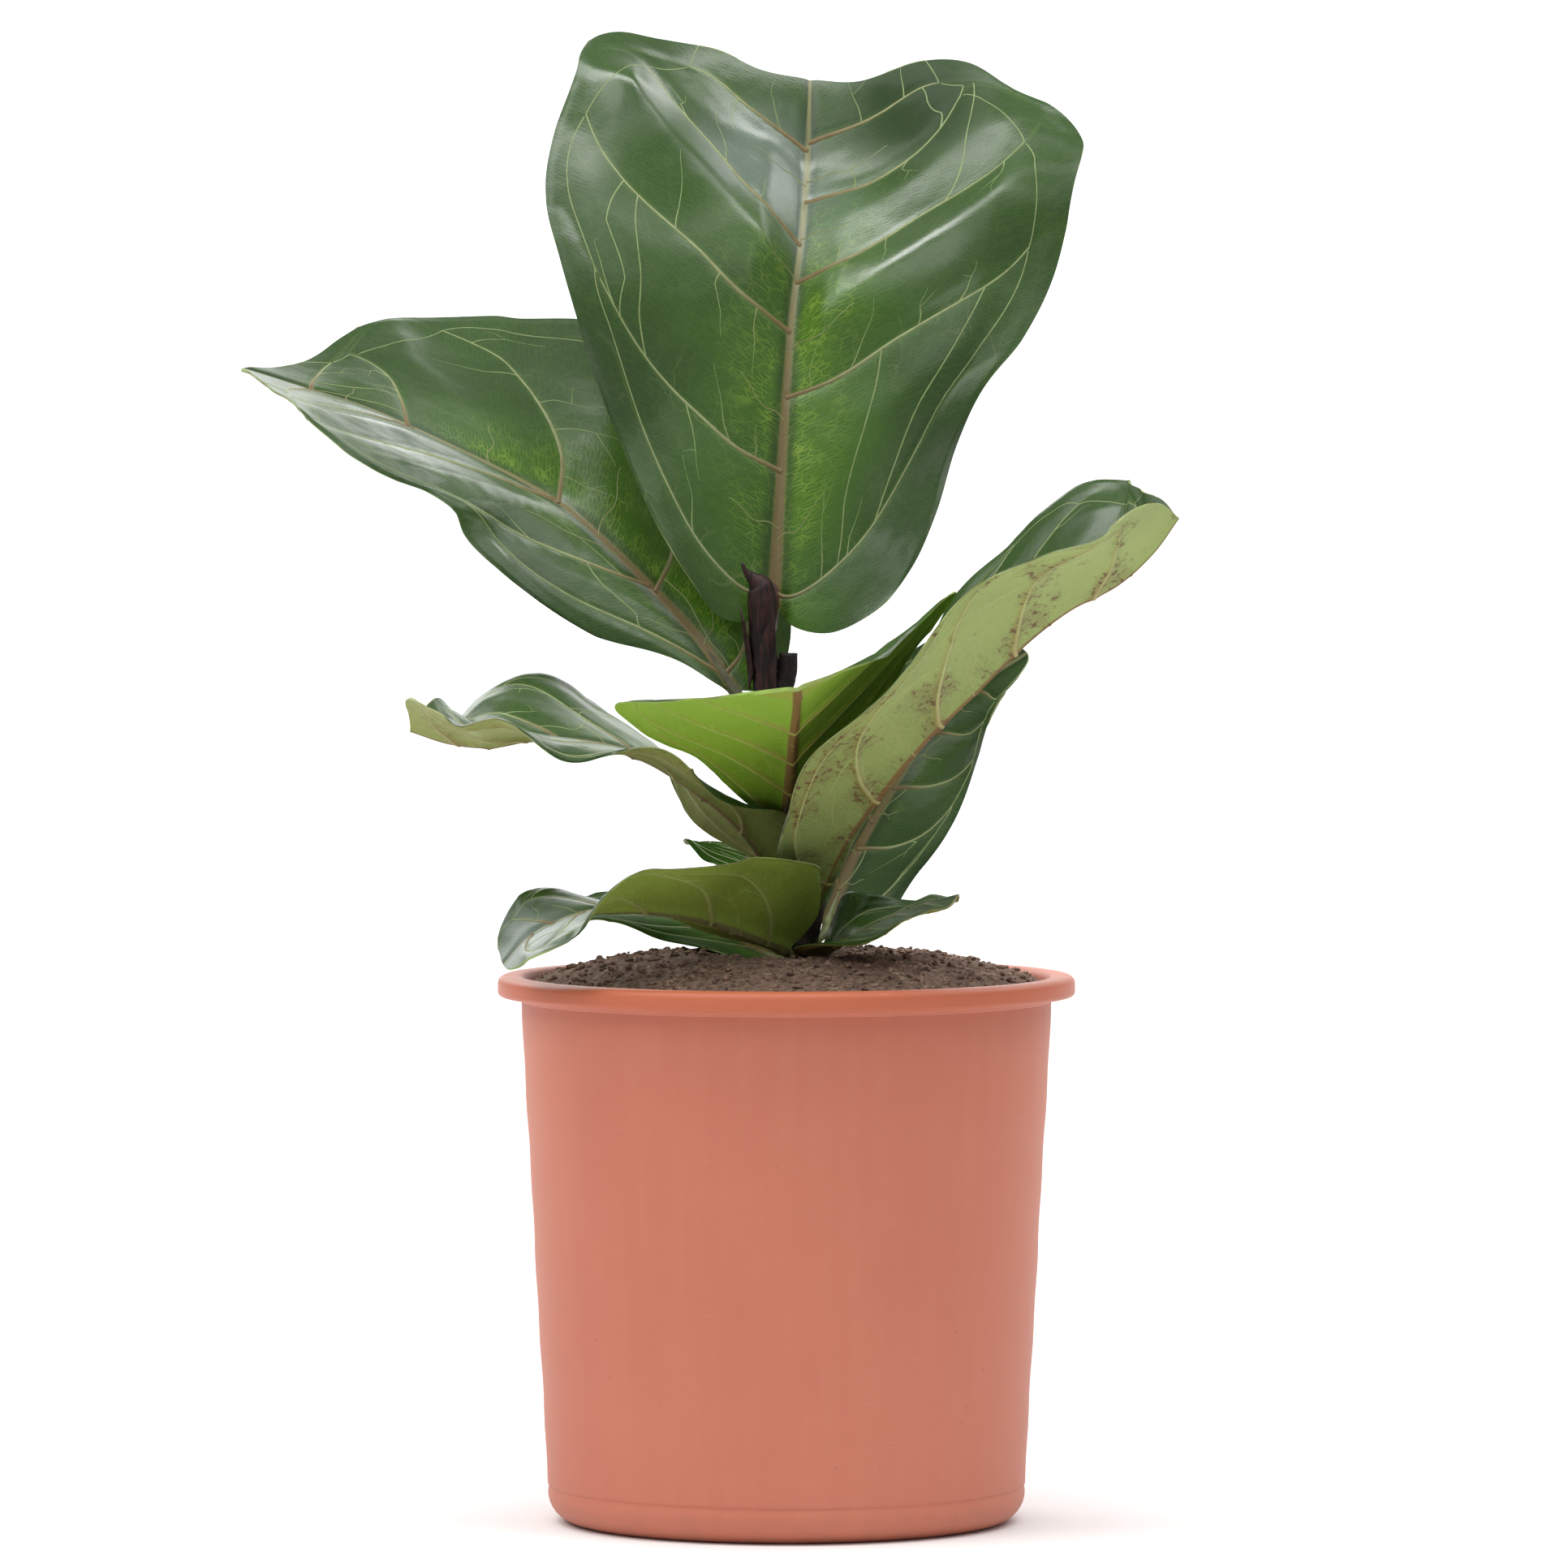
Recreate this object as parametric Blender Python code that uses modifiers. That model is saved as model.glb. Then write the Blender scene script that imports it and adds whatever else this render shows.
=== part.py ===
"""Potted fiddle leaf fig: a young plant with ten leaves in a round plastic nursery pot.

The pot stands on z = 0 with its axis on Z, and the plant's best side faces -Y. Sizes in this file are
millimetres and become metres when a mesh is made. Each leaf is a formula: a midrib that runs through a few
points, a half outline on each side of it, and the folds, curls and waves of the blade.
"""

from dataclasses import dataclass
from math import pi

import bmesh
import bpy
import numpy as np
from mathutils import Vector, noise

METRES = 0.001
GAP = 0.3

POT_HEIGHT = 180.0
RIM_RADIUS = 95.0
RIM_HEIGHT = 6.7
RIM_ROUNDING = 2.6
NECK_RADIUS = 87.4
FOOT_RADIUS = 78.6
FOOT_ROUNDING = 10.0
SEAM_HEIGHT = 12.0
SEAM_DEPTH = 0.35
SEAM_WIDTH = 0.6
WALL = 1.8
FLOOR = 2.6
FLOOR_CORNER = 4.0
RIM_UNDERCUT = 1.2
INNER_LIP_DEPTH = 1.0
INNER_LIP_OFFSETS = (0.8, 1.8)
ROUNDING_STEPS = 3
TURNS = 40

DRAIN_HOLES = 8
DRAIN_RADIUS = 4.5
DRAIN_RING = 56.0
DRAIN_SIDES = 10

SOIL_EDGE_HEIGHT = 177.0
SOIL_DOME = 11.5
SOIL_DIMPLE = 8.5
SOIL_DIMPLE_WIDTH = 20.0
CRUMB_HEIGHT = 1.3
CRUMB_SIZE = 9.0
SMALL_CRUMB_SHARE = 0.5
CRUMB_FREE_RADIUS = 16.0
SOIL_BELOW_RIM = 0.5
SOIL_RINGS = 9

STEM_HOLE_RADIUS = 5.5
STEM_HOLE_BOTTOM = 132.0
STEM_HOLE_TOP = 200.0
STEM_HOLE_SIDES = 16
STEM_RADIUS = 4.7
STEM_PATH = [
    (4, 0, 133), (4, 0, 186), (6.5, 0, 195), (8, 0, 203), (5.2, 0, 215), (2, 0, 228),
    (-1.4, 0, 240), (-4, 0, 252), (-5.6, 0, 264), (-6.6, 0, 276), (-7.8, 0, 290), (-7.8, 0, 300),
]
STEM_TAPER = [(250, 1.0), (300, 0.9)]
STEM_PLAIN_BELOW = 188.0
LEAF_SCARS = (190, 204, 211, 220, 246, 264, 282)
SCAR_SWELL = 0.13
SCAR_LENGTH = 1.6
STUB_PATH = [(-5.5, -0.5, 271), (-0.5, -0.8, 275), (1.0, -0.8, 279), (1.2, -0.8, 286)]
STUB_RADIUS = 2.3
SHEATH_PATH = [
    (-7.8, 0, 300.3), (-7.8, 0, 302), (-8.4, -0.3, 305), (-10.2, -1.2, 309), (-13, -2.4, 313), (-15, -3.1, 315),
]
SHEATH_RADII = (4.2, 4.3, 4.0, 2.8, 1.2, 0.35)

BLADE = 0.8
MIDRIB = 1.6
MIDRIB_THINNING = 0.7
LATERAL_RIB = 0.7
LATERAL_THINNING = 0.6
MIDRIB_COLUMN = 0.07
SAME_ROW = 0.012
APEX_DROOP_START = 0.7

PETIOLE_ROOT_DROP = 4.0
PETIOLE_STATIONS = (0.0, 0.06, 0.15)
PETIOLE_SINK = (0.7, 0.6, 0.5)
PETIOLE_TAPER = [(0, 1.3), (0.25, 1.05), (0.6, 0.95), (1, 0.35)]

FIDDLE = [
    (0.03, 0.0), (0.16, -0.05), (0.34, -0.04), (0.47, 0.05), (0.51, 0.18), (0.53, 0.32), (0.64, 0.48),
    (0.82, 0.63), (0.98, 0.78), (0.96, 0.90), (0.76, 0.985), (0.48, 1.02), (0.22, 1.01), (0.0, 1.0),
]
OVAL = [
    (0.03, 0.0), (0.25, -0.05), (0.55, 0.0), (0.75, 0.14), (0.84, 0.30), (0.92, 0.46), (1.0, 0.62),
    (0.97, 0.76), (0.80, 0.88), (0.50, 0.96), (0.22, 0.985), (0.0, 1.0),
]
EGG = [
    (0.03, 0.0), (0.12, -0.03), (0.28, 0.02), (0.46, 0.14), (0.64, 0.28), (0.84, 0.44), (1.0, 0.62),
    (0.97, 0.76), (0.80, 0.88), (0.50, 0.96), (0.22, 0.985), (0.0, 1.0),
]
LANCE = [(0.5, 0.0), (0.85, 0.12), (1.0, 0.3), (0.95, 0.5), (0.72, 0.72), (0.4, 0.9), (0.0, 1.0)]


def clear_scene():
    for item in list(bpy.data.objects):
        bpy.data.objects.remove(item)


def new_collection(name):
    collection = bpy.data.collections.new(name)
    bpy.context.scene.collection.children.link(collection)
    return collection


def material(name, colour, roughness):
    made = bpy.data.materials.new(name)
    made.use_nodes = True
    surface = made.node_tree.nodes["Principled BSDF"]
    surface.inputs["Base Color"].default_value = (*colour, 1)
    surface.inputs["Roughness"].default_value = roughness
    surface.inputs["Metallic"].default_value = 0
    made.diffuse_color = (*colour, 1)
    return made


def add_object(name, mesh, collection, surface=None):
    item = bpy.data.objects.new(name, mesh)
    collection.objects.link(item)
    if surface:
        mesh.materials.clear()
        mesh.materials.append(surface)
        mesh.shade_smooth()
    return item


def baked_mesh(item):
    """The mesh of an object with its modifiers, in place of the object."""
    bpy.context.view_layer.update()
    graph = bpy.context.evaluated_depsgraph_get()
    mesh = bpy.data.meshes.new_from_object(item.evaluated_get(graph))
    mesh.transform(item.matrix_world)
    bpy.data.objects.remove(item)
    return mesh


def hide(item):
    item.hide_render = True
    item.display_type = "WIRE"
    return item


def add_boolean(item, other, operation):
    cut = item.modifiers.new(f"{operation} {other.name}", "BOOLEAN")
    cut.operation = operation
    cut.solver = "EXACT"
    cut.object = other


def turned_mesh(name, profile, collection):
    """A profile of (radius, height), which runs down its outer side, turned about Z."""
    mesh = bpy.data.meshes.new(name)
    points = [(radius * METRES, 0, height * METRES) for radius, height in profile]
    mesh.from_pydata(points, [(i, i + 1) for i in range(len(points) - 1)], [])
    item = bpy.data.objects.new(name, mesh)
    collection.objects.link(item)
    screw = item.modifiers.new("Turn", "SCREW")
    screw.steps = TURNS
    screw.render_steps = TURNS
    screw.use_merge_vertices = True
    screw.merge_threshold = 0.0001
    screw.use_normal_calculate = True
    return baked_mesh(item)


def tube_mesh(name, path, radii, collection, bevel_resolution=2):
    """A round tube with closed ends through the points of the path, with its own radius at each."""
    curve = bpy.data.curves.new(name, "CURVE")
    curve.dimensions = "3D"
    curve.bevel_depth = METRES
    curve.bevel_resolution = bevel_resolution
    curve.use_fill_caps = True
    spline = curve.splines.new("POLY")
    spline.points.add(len(path) - 1)
    for point, place, radius in zip(spline.points, path, radii):
        point.co = (*(METRES * value for value in place), 1)
        point.radius = radius
    item = bpy.data.objects.new(name, curve)
    collection.objects.link(item)
    mesh = baked_mesh(item)
    work = bmesh.new()
    work.from_mesh(mesh)
    bmesh.ops.remove_doubles(work, verts=work.verts, dist=1e-6)
    work.to_mesh(mesh)
    work.free()
    return mesh


def smooth_path(points, steps):
    """A smooth curve through the points, with as many steps between each two."""
    points = np.asarray(points, float)
    knots = np.concatenate([[0], np.cumsum(np.sqrt(np.linalg.norm(np.diff(points, axis=0), axis=1)))])
    gaps = np.diff(knots)[:, None]
    slopes = np.diff(points, axis=0) / gaps
    inner = (slopes[:-1] * gaps[1:] + slopes[1:] * gaps[:-1]) / (gaps[:-1] + gaps[1:])
    slopes = np.vstack([slopes[:1], inner, slopes[-1:]])
    u = np.arange(steps)[:, None] / steps
    path = []
    for i, gap in enumerate(gaps):
        path.append(
            (2 * u**3 - 3 * u**2 + 1) * points[i]
            + (u**3 - 2 * u**2 + u) * gap * slopes[i]
            + (3 * u**2 - 2 * u**3) * points[i + 1]
            + (u**3 - u**2) * gap * slopes[i + 1]
        )
    return np.vstack([*path, points[-1:]])


def lengths_along(path):
    return np.concatenate([[0], np.cumsum(np.linalg.norm(np.diff(path, axis=0), axis=1))])


def read_along(path, lengths, where):
    return np.stack([np.interp(where, lengths, column) for column in path.T], -1)


def unit(vectors):
    return vectors / np.linalg.norm(vectors, axis=-1, keepdims=True)


def eased(values, place):
    """Values at equal steps from base to apex, read with a soft change between them."""
    values = np.asarray(values, float)
    last = len(values) - 1
    x = np.clip(place, 0, 1) * last
    first = np.minimum(x.astype(int), last - 1)
    u = x - first
    u = u * u * (3 - 2 * u)
    if values.ndim > 1:
        u = u[..., None]
    return values[first] * (1 - u) + values[first + 1] * u


@dataclass
class Leaf:
    """One leaf, in millimetres and degrees. Pairs are for the side 0 and the side 1 of the midrib."""

    petiole: tuple
    spine: list
    facing: list
    half_widths: tuple
    outlines: tuple
    fold: tuple
    curl: tuple = ((0, 0), (0, 0))
    wave: float = 2.0
    wave_count: float = 2.0
    wave_start: tuple = (0.0, 0.5)
    sweep: float = 0.4
    droop: tuple = (0, 0)
    corners: tuple = (0.2, 0.8)
    veins: tuple = ((0.10, 0.33, 0.54, 0.72, 0.88), (0.02, 0.24, 0.45, 0.64, 0.81))
    columns: int = 4
    row_step: float = 0.075
    petiole_radius: float = 1.5
    row_power: float = 1.6

    def __post_init__(self):
        self.midrib = smooth_path(self.spine, 16)
        self.along = lengths_along(self.midrib)
        self.length = self.along[-1]
        self.tangents = unit(np.gradient(self.midrib, axis=0))
        self.edges = []
        for outline, half_width in zip(self.outlines, self.half_widths):
            edge = smooth_path(np.array(outline) * (half_width, self.length), 12)
            along = lengths_along(edge)
            self.edges.append((edge, along / along[-1]))

    def flat(self, side, row, across):
        """The place on the flattened half blade: distance from the midrib, and along it."""
        edge, along = self.edges[side]
        low, high = self.corners
        start = read_along(edge, along, np.zeros(1))[0]
        midrib = np.stack([0 * row, self.length * row**self.row_power], -1)
        margin = read_along(edge, along, low + row * (high - low))
        base = read_along(edge, along, across * low) - start * (1 - across[..., None])
        apex = read_along(edge, along, 1 - across * (1 - high))
        base_corner = read_along(edge, along, np.array([low]))[0]
        apex_corner = read_along(edge, along, np.array([high]))[0]
        a = across[..., None]
        u = row[..., None]
        corners = (1 - u) * a * base_corner + u * (1 - a) * np.array([0, self.length]) + u * a * apex_corner
        return (1 - a) * midrib + a * margin + (1 - u) * base + u * apex - corners

    def frame_at(self, station):
        """Midrib point, its direction, the way the upper face looks, and the way to side 1."""
        inside = np.clip(station, 0, self.length)
        along = unit(read_along(self.tangents, self.along, inside))
        point = read_along(self.midrib, self.along, inside) + along * (station - inside)[..., None]
        up = eased(self.facing, inside / self.length)
        up = unit(up - along * (up * along).sum(-1, keepdims=True))
        return point, along, up, np.cross(along, up)

    def surface(self, side, row, across):
        """Points of the upper face. Row and across run from 0 to 1, as arrays of one shape."""
        flat = self.flat(side, row, across)
        x = flat[..., 0]
        y = flat[..., 1]
        station = y - self.sweep * x
        point, along, up, sideways = self.frame_at(station)
        place = np.clip(station / self.length, 0, 1)
        fold = np.radians(eased(self.fold[side], place))
        bend = np.radians(eased(self.curl[side], place)) / self.half_widths[side]
        bend = np.where(abs(bend) < 1e-6, 1e-6, bend)
        out = (np.sin(fold + bend * x) - np.sin(fold)) / bend
        rise = (np.cos(fold) - np.cos(fold + bend * x)) / bend
        phase = self.wave_count * y / self.length + self.wave_start[side]
        rise = rise + self.wave * across**2 * np.sin(2 * pi * phase)
        near_apex = np.clip((row - APEX_DROOP_START) / (1 - APEX_DROOP_START), 0, 1)
        rise = rise - self.droop[side] * near_apex**2 * across
        if side == 0:
            out = -out
        shift = self.sweep * x
        return point + sideways * out[..., None] + up * rise[..., None] + along * shift[..., None]

    def vein_rows(self, side):
        return np.array(self.veins[side]) ** (1 / self.row_power)


LEAVES = {
    "leaf_top": Leaf(
        petiole=(-5.6, 3, 293),
        spine=[(-4, 8, 305), (-2, 12, 340), (0, 17, 372), (2, 23, 398), (5, 33, 423), (7, 48, 450), (8, 66, 478)],
        facing=[(0, -1, 0.1), (0, -1, 0.1), (0, -1, 0.2), (0, -1, 0.3)],
        half_widths=(84, 90),
        outlines=(
            [
                (0.03, 0.0), (0.12, -0.05), (0.23, -0.045), (0.36, 0.03), (0.50, 0.13), (0.64, 0.25),
                (0.76, 0.37), (0.85, 0.48), (0.92, 0.57), (1.0, 0.68), (1.0, 0.79), (0.97, 0.90),
                (0.90, 1.0), (0.80, 1.045), (0.60, 1.05), (0.38, 1.04), (0.20, 1.0), (0.0, 0.985),
            ],
            [
                (0.03, 0.0), (0.08, -0.05), (0.22, -0.065), (0.38, -0.02), (0.50, 0.06), (0.58, 0.16),
                (0.64, 0.28), (0.72, 0.38), (0.86, 0.48), (0.96, 0.60), (1.0, 0.76), (1.0, 0.86),
                (0.92, 0.93), (0.76, 0.97), (0.58, 1.03), (0.42, 1.03), (0.18, 0.98), (0.0, 0.985),
            ],
        ),
        fold=((8, 8, 8, 4), (8, 8, 8, 4)),
        curl=((-6, -6, -10, -14), (-6, -6, -10, -14)),
        wave=4,
        wave_count=2.2,
        wave_start=(0.1, 0.4),
        sweep=0.7,
        corners=(0.14, 0.74),
        veins=((0.03, 0.24, 0.51, 0.67, 0.88), (0.0, 0.375, 0.60, 0.77, 0.90)),
        columns=5,
        row_step=0.045,
        petiole_radius=1.9,
        row_power=1.5,
    ),
    "leaf_left_upper": Leaf(
        petiole=(-12, 3, 268),
        spine=[
            (-17, 4, 274), (-29, 8, 291), (-56, 16, 319), (-73, 20, 334), (-88, 22, 343), (-110, 24, 354),
            (-139, 26, 367), (-161, 27, 374), (-180, 27, 380),
        ],
        facing=[(-0.2, -0.42, 0.8), (-0.2, -0.42, 0.85), (0, -0.32, 0.9), (0, -0.3, 0.9)],
        half_widths=(66, 80),
        outlines=(
            [
                (0.03, 0.0), (0.08, 0.02), (0.20, 0.09), (0.42, 0.19), (0.56, 0.29), (0.66, 0.39), (0.68, 0.47),
                (0.62, 0.54), (0.62, 0.60), (0.74, 0.68), (0.82, 0.76), (0.76, 0.84), (0.54, 0.91),
                (0.27, 0.96), (0.0, 1.0),
            ],
            [
                (0.03, 0.0), (0.16, -0.03), (0.34, 0.02), (0.49, 0.12), (0.58, 0.24), (0.72, 0.38), (0.88, 0.51),
                (1.0, 0.62), (1.0, 0.73), (0.88, 0.81), (0.62, 0.87), (0.30, 0.91), (0.13, 0.95), (0.0, 1.0),
            ],
        ),
        fold=((2, 4, 10, 12), (2, 6, 2, -4)),
        curl=((0, 0, 0, 0), (0, 0, 0, -10)),
        wave=3,
        wave_start=(0.35, 0.5),
        sweep=0.5,
        columns=5,
        row_step=0.045,
        petiole_radius=1.9,
    ),
    "leaf_front": Leaf(
        petiole=(-1, -4, 222),
        spine=[(0, -11, 231), (1, -38, 247), (2, -66, 262), (3, -90, 273), (3, -106, 279)],
        facing=[(0, 0.3, 0.9), (0, 0.3, 0.9)],
        half_widths=(64, 58),
        outlines=(
            [
                (0.03, 0.0), (0.08, 0.0), (0.20, 0.06), (0.32, 0.17), (0.43, 0.30), (0.52, 0.43), (0.63, 0.56),
                (0.75, 0.68), (0.87, 0.79), (1.0, 0.90), (0.78, 0.93), (0.5, 0.96), (0.25, 0.985), (0.0, 1.0),
            ],
            [
                (0.03, 0.0), (0.08, 0.0), (0.20, 0.08), (0.34, 0.22), (0.5, 0.38), (0.68, 0.54), (0.87, 0.69),
                (1.0, 0.82), (0.93, 0.92), (0.65, 0.975), (0.3, 1.0), (0.0, 1.0),
            ],
        ),
        fold=((24, 28, 32), (2, -2, -8)),
        curl=((10, 16, 20), (0, 0, -6)),
        droop=(9, 0),
        columns=5,
        petiole_radius=1.7,
    ),
    "leaf_right_front": Leaf(
        petiole=(10, -4, 204),
        spine=[
            (12, -9, 210), (20, -29, 228), (32, -47, 246), (45, -63, 262), (60, -76, 277), (77, -86, 294),
            (90, -92, 304), (105, -96, 312), (116, -98, 322), (124, -98, 333),
        ],
        facing=[(-0.6, 0.1, 0.8), (-0.6, 0.1, 0.8), (-0.5, 0.1, 0.8)],
        half_widths=(54, 44),
        outlines=(
            [
                (0.03, 0.0), (0.10, -0.02), (0.24, 0.03), (0.36, 0.13), (0.49, 0.26), (0.66, 0.38), (0.84, 0.50),
                (0.97, 0.62), (1.0, 0.73), (0.94, 0.83), (0.78, 0.92), (0.5, 0.99), (0.25, 1.01), (0.0, 1.0),
            ],
            [
                (0.03, 0.0), (0.20, -0.03), (0.40, 0.0), (0.54, 0.10), (0.66, 0.24), (0.80, 0.38), (0.84, 0.52),
                (0.84, 0.66), (0.90, 0.78), (0.84, 0.89), (0.6, 0.97), (0.3, 1.0), (0.0, 1.0),
            ],
        ),
        fold=((30, 38, 38), (28, 28, 24)),
        wave=2.5,
        wave_count=2.5,
        columns=5,
        petiole_radius=1.7,
    ),
    "leaf_right_back": Leaf(
        petiole=(12, 5, 193),
        spine=[(14, 10, 198), (22, 22, 217), (33, 32, 236), (46, 38, 256), (61, 40, 272), (80, 40, 285)],
        facing=[(0.3, -0.8, 0.4), (0.3, -0.8, 0.4), (0.4, -0.7, 0.5)],
        half_widths=(24, 23),
        outlines=(
            EGG,
            [
                (0.03, 0.0), (0.3, -0.06), (0.65, -0.03), (0.85, 0.10), (0.95, 0.25), (1.0, 0.40), (0.95, 0.55),
                (0.78, 0.67), (0.55, 0.77), (0.38, 0.86), (0.26, 0.94), (0.12, 0.99), (0.0, 1.0),
            ],
        ),
        fold=((10, 10, 10), (10, 10, 20)),
        wave=1.5,
    ),
    "leaf_left_mid": Leaf(
        petiole=(-3, -2, 213),
        spine=[
            (-6, -5, 219), (-18, -14, 234), (-32, -22, 245), (-45, -27, 253), (-61, -31, 258), (-83, -35, 260),
            (-96, -36, 258), (-109, -36, 259), (-122, -35, 263),
        ],
        facing=[(-0.3, -0.2, 0.9), (-0.2, -0.2, 0.95), (0, -0.24, 0.95), (-0.1, -0.26, 0.95)],
        half_widths=(38, 44),
        outlines=(
            FIDDLE,
            [
                (0.03, 0.0), (0.12, -0.02), (0.35, 0.03), (0.6, 0.13), (0.84, 0.25), (0.97, 0.37), (1.0, 0.5),
                (0.98, 0.64), (0.9, 0.78), (0.68, 0.9), (0.33, 0.98), (0.0, 1.0),
            ],
        ),
        fold=((4, 4, 4, 24, 50), (6, 12, 8, 0, -4)),
        curl=((6, 0, 0, 0, 0), (0, 0, 0, 0, 0)),
        wave=4,
        wave_count=2.5,
        wave_start=(0.1, 0.6),
        columns=5,
    ),
    "leaf_left_low": Leaf(
        petiole=(1, -5, 187),
        spine=[
            (-1, -10, 190), (-11, -25, 195), (-23, -36, 200), (-33, -44, 203), (-47, -50, 205), (-62, -54, 205),
            (-73, -57, 202), (-84, -59, 196), (-92, -60, 187),
        ],
        facing=[(0, 0.6, 0.8), (0, 0.5, 0.85), (-0.1, 0.25, 0.9), (-0.2, -0.3, 0.8), (-0.3, -0.3, 0.85)],
        half_widths=(32, 24),
        outlines=(
            [
                (0.03, 0.0), (0.20, -0.02), (0.5, 0.0), (0.78, 0.09), (1.0, 0.20), (1.0, 0.32), (0.86, 0.44),
                (0.74, 0.54), (0.70, 0.66), (0.70, 0.78), (0.60, 0.89), (0.36, 0.97), (0.16, 1.0), (0.0, 1.0),
            ],
            OVAL,
        ),
        fold=((25, 25, 15, 5, 0), (25, 20, 15, 5, 0)),
    ),
    "leaf_left_bottom": Leaf(
        petiole=(-1, 2, 184),
        spine=[(-4, 5, 186), (-13, 14, 190), (-24, 24, 194), (-40, 33, 198), (-56, 40, 200), (-81, 48, 200)],
        facing=[(0, -0.3, 0.9), (0, -0.2, 0.95), (0, -0.1, 0.95)],
        half_widths=(24, 28),
        outlines=(OVAL, OVAL),
        fold=((5, 3, 0), (0, 0, -5)),
        wave=1.5,
        petiole_radius=1.3,
    ),
    "leaf_right_low": Leaf(
        petiole=(9, -2, 184.5),
        spine=[(11, -6, 187), (15, -18, 191), (24, -26, 196), (35, -32, 202), (45, -36, 206), (56, -38, 209)],
        facing=[(0, -0.2, 0.9), (0, -0.28, 0.95), (0, -0.28, 0.95)],
        half_widths=(25, 24),
        outlines=(OVAL, EGG),
        fold=((55, -10, -25), (0, 0, 0)),
        curl=((20, 0, 0), (0, 0, 0)),
        wave=1.5,
        petiole_radius=1.3,
    ),
    "leaf_back": Leaf(
        petiole=(-2, 5, 207),
        spine=[(-5, 10, 209), (-9, 36, 214), (-13, 64, 217), (-16, 88, 219)],
        facing=[(0, -0.4, 0.9), (0, -0.4, 0.9), (0, -0.3, 0.9)],
        half_widths=(22, 22),
        outlines=(OVAL, OVAL),
        fold=((15, 15, 10), (15, 15, 10)),
        wave=1.5,
        petiole_radius=1.3,
    ),
}

# Papery scales on the upper stem, as small cupped blades that face outward.
STIPULES = {
    "stipule_left": Leaf(
        petiole=(),
        spine=[(-12.4, -0.6, 274), (-13.4, -0.8, 285), (-15.4, -0.6, 301)],
        facing=[(-1, -0.1, 0), (-1, -0.1, 0.1)],
        half_widths=(3.6, 3.6),
        outlines=(LANCE, LANCE),
        fold=((0, 0), (0, 0)),
        curl=((-60, -40), (-60, -40)),
        wave=0.2,
        sweep=0,
        veins=((0.3, 0.7), (0.3, 0.7)),
        columns=3,
        row_step=0.15,
        row_power=1,
    ),
    "stipule_right": Leaf(
        petiole=(),
        spine=[(-6.2, -6, 268), (-6.6, -6.3, 280), (-5.0, -6.8, 297)],
        facing=[(0, -1, 0), (0, -1, 0.1)],
        half_widths=(3.8, 3.8),
        outlines=(LANCE, LANCE),
        fold=((0, 0), (0, 0)),
        curl=((-60, -40), (-60, -40)),
        wave=0.2,
        sweep=0,
        veins=((0.3, 0.7), (0.3, 0.7)),
        columns=3,
        row_step=0.15,
        row_power=1,
    ),
}


def blade_rows(leaf):
    """Rows of the blade's grid: one on each side vein, and more where two lie far apart."""
    veins = np.concatenate([leaf.vein_rows(0), leaf.vein_rows(1)])
    rows = [0.0]
    for row in sorted([*veins, 1.0]):
        if row - rows[-1] > SAME_ROW:
            rows.append(row)
    filled = rows[:1]
    for row in rows[1:]:
        extra = int((row - filled[-1]) / leaf.row_step)
        filled += list(np.linspace(filled[-1], row, extra + 2)[1:-1])
        filled.append(row)
    return np.array(filled)


def blade_columns(leaf):
    """Steps from midrib to margin, with a narrow one beside the midrib."""
    return np.concatenate([[0], np.linspace(MIDRIB_COLUMN, 1, leaf.columns)])


def build_blade(name, leaf, collection, surface, ribs=True):
    rows = blade_rows(leaf)
    columns = blade_columns(leaf)
    last = len(columns) - 1
    work = bmesh.new()
    bmesh.ops.create_grid(work, x_segments=2 * last, y_segments=len(rows) - 1, size=1)
    group = work.verts.layers.deform.verify()
    vein_rows = [leaf.vein_rows(side) for side in (0, 1)]
    for vertex in work.verts:
        column = round((vertex.co.x + 1) * last) - last
        row = rows[round((vertex.co.y + 1) / 2 * (len(rows) - 1))]
        across = columns[abs(column)]
        side = 1 if column > 0 else 0
        place = leaf.surface(side, np.array([row]), np.array([across]))[0]
        vertex.co = Vector(place * METRES)
        rib = 0.0
        if column == 0:
            rib = MIDRIB * (1 - MIDRIB_THINNING * row)
        elif across < 1 and abs(vein_rows[side] - row).min() < SAME_ROW:
            rib = LATERAL_RIB * (1 - LATERAL_THINNING * across)
        vertex[group][0] = rib / MIDRIB if ribs else 0.0
    bmesh.ops.triangulate(work, faces=work.faces)
    mesh = bpy.data.meshes.new(name)
    work.to_mesh(mesh)
    work.free()
    item = add_object(name, mesh, collection, surface)
    item.vertex_groups.new(name="ribs")
    solid = item.modifiers.new("Thickness", "SOLIDIFY")
    solid.thickness = (BLADE + MIDRIB) * METRES
    solid.offset = -1
    solid.vertex_group = "ribs"
    solid.thickness_vertex_group = BLADE / (BLADE + MIDRIB)
    return item


def stem_axis(height):
    return np.array([np.interp(height, [p[2] for p in STEM_PATH], [p[0] for p in STEM_PATH]), 0, height])


def petiole_path(leaf):
    """From the stem's axis to the blade's base, and a little way under the midrib."""
    start = stem_axis(leaf.petiole[2] - PETIOLE_ROOT_DROP)
    points, _, up, _ = leaf.frame_at(np.array(PETIOLE_STATIONS) * leaf.length)
    sunk = points - up * (leaf.petiole_radius * np.array(PETIOLE_SINK))[:, None]
    path = smooth_path([start, leaf.petiole, *sunk], 2)
    ends = lengths_along(path) / lengths_along(path)[-1]
    radii = leaf.petiole_radius * np.interp(ends, *zip(*PETIOLE_TAPER))
    return path, radii


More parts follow.
